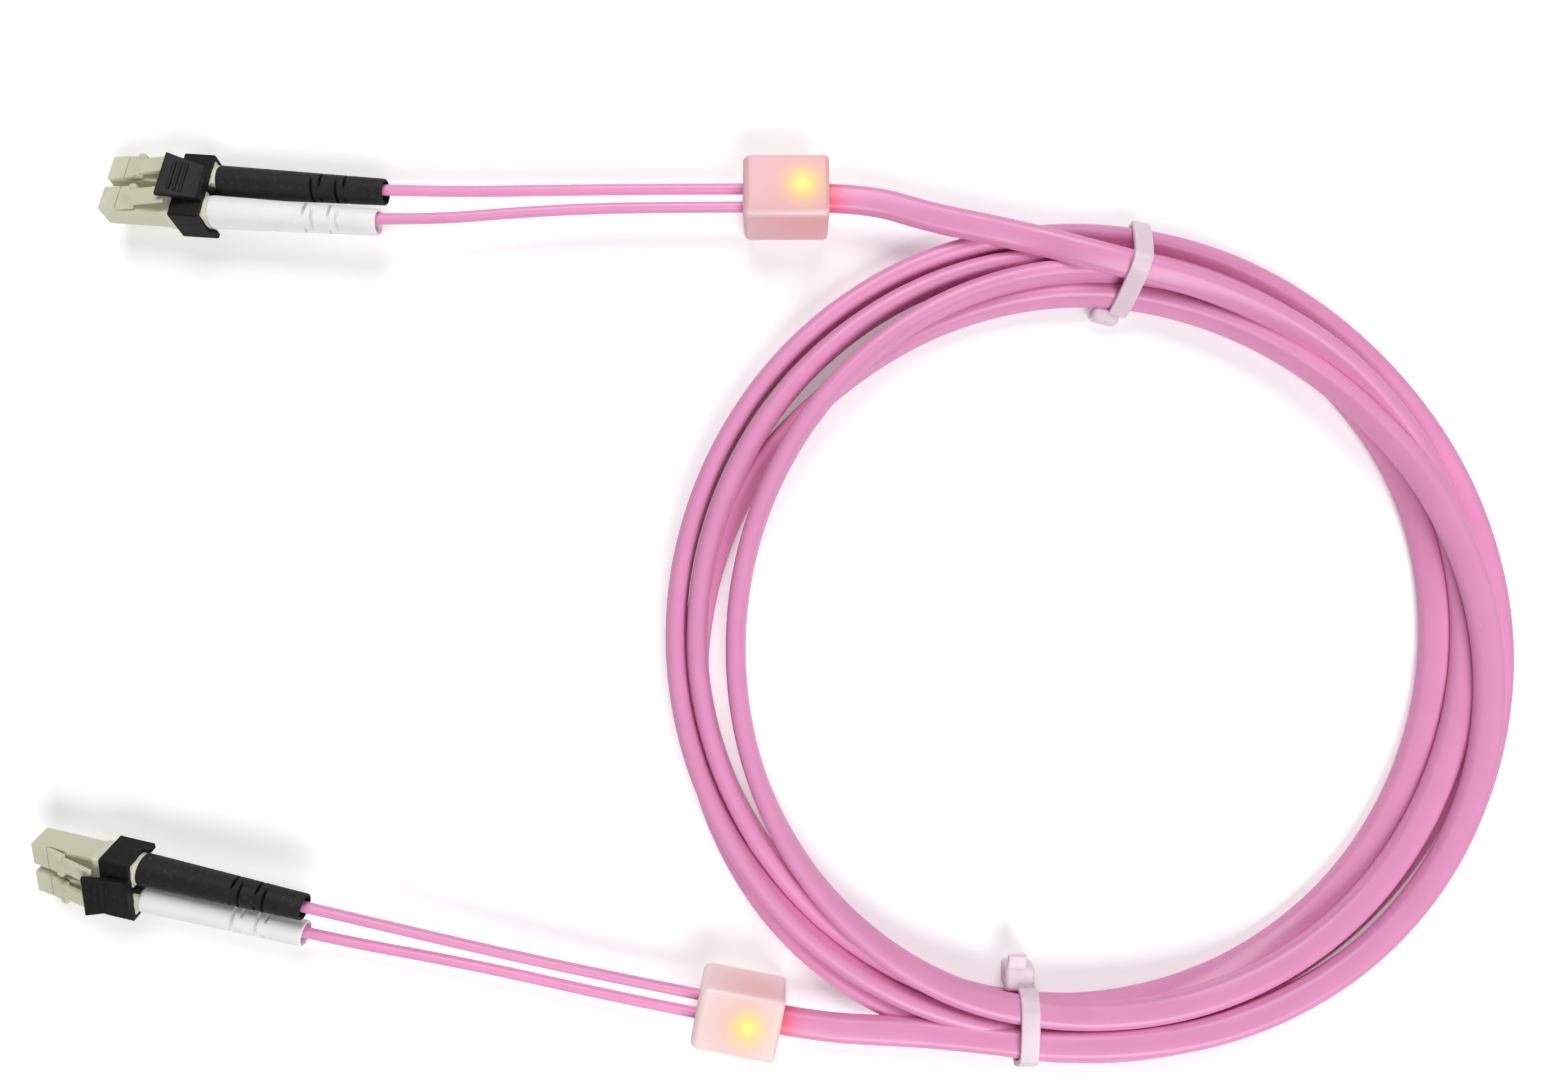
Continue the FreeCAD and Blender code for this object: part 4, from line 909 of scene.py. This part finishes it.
class PATCHCORD_OT_boots(bpy.types.Operator):
    """Makes the four boots, one black and one white at each end, with their bending slits"""

    bl_idname = "patchcord.boots"
    bl_label = "Boots"

    def execute(self, context):
        props = context.scene.patchcord_connector
        black = {"rough": 0.56, "grain": 1500, "depth": 0.06 * MM, "shine": 0.22, "wear": 3.0}
        white = {"rough": 0.48, "grain": 1500, "depth": 0.04 * MM, "milk": 0.15}
        finishes = {
            "black": moulded_finish("boot_black", props.rubber, **black),
            "white": moulded_finish("boot_white", props.white, **white),
        }
        for end in ENDS:
            for side, sign in SIDES.items():
                rings = self.wall(props, BOOT_TURNS[end, side])
                rings = rings + np.array([props.boot_front, sign * props.pitch / 2, 0.0])
                rings = placed(rings, PLUG_PLACES[end], PLUG_TURNS[end])
                boot = joined_rings(f"soft_boot_{end}_{side}", [(rings, True)])
                boot.data.set_sharp_from_angle(angle=SHARP_ANGLE)
                dress(boot, finishes[side], f"boot_{side}", f"boot_{end}_{side}")
        return {"FINISHED"}

    def wall(self, props, turned):
        """The boot's wall turned about X: out along the tapered outside, into the mouth and back through
        the neck and the bore. A slit is cut in from two sides: its radius is floor / |cos (t - s)| where
        that is less, but not less than its least, with s towards one of those sides. The two slits of a
        pair are cut a right angle apart."""
        slope = (props.boot_rear_radius - props.boot_front_radius) / props.boot_length
        rim = BOOT_RIM * np.sin(np.linspace(0, math.pi / 2, CORNER_STEPS))
        drop = BOOT_RIM - np.sqrt(np.maximum(BOOT_RIM**2 - (BOOT_RIM - rim) ** 2, 0))
        slits = []
        for pair in range(2):
            last = props.boot_length - props.slit_first - props.slit_pair_step * pair
            slits += [(last, math.pi / 2), (last - props.slit_step, 0.0)]
        slits.sort()
        lip = props.slit_width / SLIT_OVER_LIP
        x = [rim]
        sides = [np.full(CORNER_STEPS, np.nan)]
        for first, towards in slits:
            x.append(np.array([first - lip, first, first + props.slit_width, first + props.slit_width + lip]))
            sides.append(np.array([np.nan, towards, towards, np.nan]))
        x.append(props.boot_length - rim[::-1])
        x = np.concatenate(x)
        radius = props.boot_front_radius + slope * x
        radius[:CORNER_STEPS] -= drop
        radius[-CORNER_STEPS:] -= drop[::-1]
        mouth = props.boot_length - props.mouth_depth
        inside = np.array([
            (props.boot_length, props.mouth_radius + BOOT_RIM / 2),
            (props.boot_length - BOOT_RIM, props.mouth_radius),
            (mouth, props.mouth_radius), (mouth, props.neck_radius), (props.bore_depth, props.neck_radius),
            (props.bore_depth, props.bore_radius), (0.0, props.bore_radius),
        ])
        x = np.concatenate([x, inside[:, 0]])
        radius = np.concatenate([radius, inside[:, 1]])[:, None]
        sides = np.concatenate([*sides, np.full(CORNER_STEPS + len(inside), np.nan)])[:, None]
        turn = np.linspace(0, 2 * math.pi, BOOT_SIDES, endpoint=False)[None, :]
        facing = np.abs(np.cos(turn - sides - math.radians(turned)))
        chord = props.slit_floor / np.maximum(facing, LEAST_COSINE)
        cut = np.where(np.isnan(sides), radius, np.minimum(radius, np.maximum(chord, props.slit_least)))
        return np.stack(np.broadcast_arrays(x[:, None], cut * np.cos(turn), cut * np.sin(turn)), axis=-1)


class PATCHCORD_OT_stage(bpy.types.Operator):
    """Sets up the white table top, the soft light and the camera"""

    bl_idname = "patchcord.stage"
    bl_label = "Stage"

    def execute(self, context):
        props = context.scene.patchcord_stage
        self.lay_floor(props)
        self.hang_lamp("near_lamp", props.near, NEAR_LAMP_PLACE)
        self.hang_lamp("far_lamp", props.far, FAR_LAMP_PLACE)
        self.set_sky(context, props)
        self.place_camera(context)
        return {"FINISHED"}

    def lay_floor(self, props):
        """A white table top. Where the camera sees it, it is lifted and fades to plain white far off."""
        half = props.floor_size / 2
        corners = [(-half, -half, 0), (half, -half, 0), (half, half, 0), (-half, half, 0)]
        mesh = bpy.data.meshes.new("table_top")
        mesh.from_pydata(corners, [], [(0, 1, 2, 3)])
        floor = in_scene("table_top", mesh)
        material, start, place = new_finish("table_top")
        seen = start.node("ShaderNodeLightPath", output=0)
        paper = start.node("ShaderNodeBsdfDiffuse", inputs={"Color": opaque(props.floor)})
        lift = start.node("ShaderNodeEmission", inputs={"Color": WHITE, "Strength": seen * props.lift})
        near = start.node("ShaderNodeAddShader", inputs={0: paper, 1: lift})
        away = distance(start, place, STAGE_MIDDLE)
        faded = graded(start, away, props.near_edge, props.far_edge, 1.0)
        plain = start.node("ShaderNodeEmission", inputs={"Color": WHITE, "Strength": 1.0})
        both = start.node("ShaderNodeMixShader", inputs={0: faded * seen, 1: near, 2: plain})
        start.node("ShaderNodeOutputMaterial", inputs={"Surface": both})
        floor.data.materials.append(material)

    def hang_lamp(self, name, power, place):
        """A square soft lamp that faces the middle of the stage."""
        lamp = bpy.data.lights.new(name, "AREA")
        lamp.size = LAMP_SIZE
        lamp.energy = power
        place = Vector(place)
        turned = (Vector(STAGE_MIDDLE) - place).to_track_quat("-Z", "Y")
        in_scene(name, lamp).matrix_world = Matrix.Translation(place) @ turned.to_matrix().to_4x4()

    def set_sky(self, context, props):
        """An even sky, which is white where the camera sees it."""
        world = bpy.data.worlds.new("studio")
        world.use_nodes = True
        world.node_tree.nodes.clear()
        start = Wire(world.node_tree)
        seen = start.node("ShaderNodeLightPath", output=0)
        strength = seen * (1 - props.sky) + props.sky
        sky = start.node("ShaderNodeBackground", inputs={"Color": WHITE, "Strength": strength})
        start.node("ShaderNodeOutputWorld", inputs={"Surface": sky})
        context.scene.world = world

    def place_camera(self, context):
        """The photograph's camera. Its lens is sensor width times focal length over image width."""
        data = bpy.data.cameras.new("camera")
        data.sensor_width = SENSOR_WIDTH
        data.lens = FOCAL_PIXELS / IMAGE_WIDTH * SENSOR_WIDTH
        data.clip_start = CLIP_START
        camera = in_scene("camera", data)
        camera.location = CAMERA_PLACE
        context.scene.camera = camera
        context.scene.view_settings.view_transform = "Standard"


class PATCHCORD_PT_panel(bpy.types.Panel):
    """Lists the pieces of the patch cord"""

    bl_idname = "PATCHCORD_PT_panel"
    bl_label = "Patch cord"
    bl_space_type = "VIEW_3D"
    bl_region_type = "UI"
    bl_category = "Patch cord"

    def draw(self, context):
        for operator in OPERATORS:
            self.layout.operator(operator.bl_idname)


GROUPS = {
    "patchcord_cable": CableProperties,
    "patchcord_connector": ConnectorProperties,
    "patchcord_block": BlockProperties,
    "patchcord_stage": StageProperties,
}
OPERATORS = [
    PATCHCORD_OT_ties, PATCHCORD_OT_cable, PATCHCORD_OT_legs, PATCHCORD_OT_blocks, PATCHCORD_OT_plugs,
    PATCHCORD_OT_clips, PATCHCORD_OT_boots, PATCHCORD_OT_stage,
]


def register():
    for group in GROUPS.values():
        bpy.utils.register_class(group)
    for name, group in GROUPS.items():
        setattr(bpy.types.Scene, name, PointerProperty(type=group))
    for operator in OPERATORS:
        bpy.utils.register_class(operator)
    bpy.utils.register_class(PATCHCORD_PT_panel)


def unregister():
    bpy.utils.unregister_class(PATCHCORD_PT_panel)
    for operator in reversed(OPERATORS):
        bpy.utils.unregister_class(operator)
    for name, group in reversed(GROUPS.items()):
        delattr(bpy.types.Scene, name)
        bpy.utils.unregister_class(group)


def main():
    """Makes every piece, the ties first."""
    register()
    bpy.ops.patchcord.ties()
    bpy.ops.patchcord.cable()
    bpy.ops.patchcord.legs()
    bpy.ops.patchcord.blocks()
    bpy.ops.patchcord.plugs()
    bpy.ops.patchcord.clips()
    bpy.ops.patchcord.boots()
    bpy.ops.patchcord.stage()


if __name__ == "__main__":
    main()
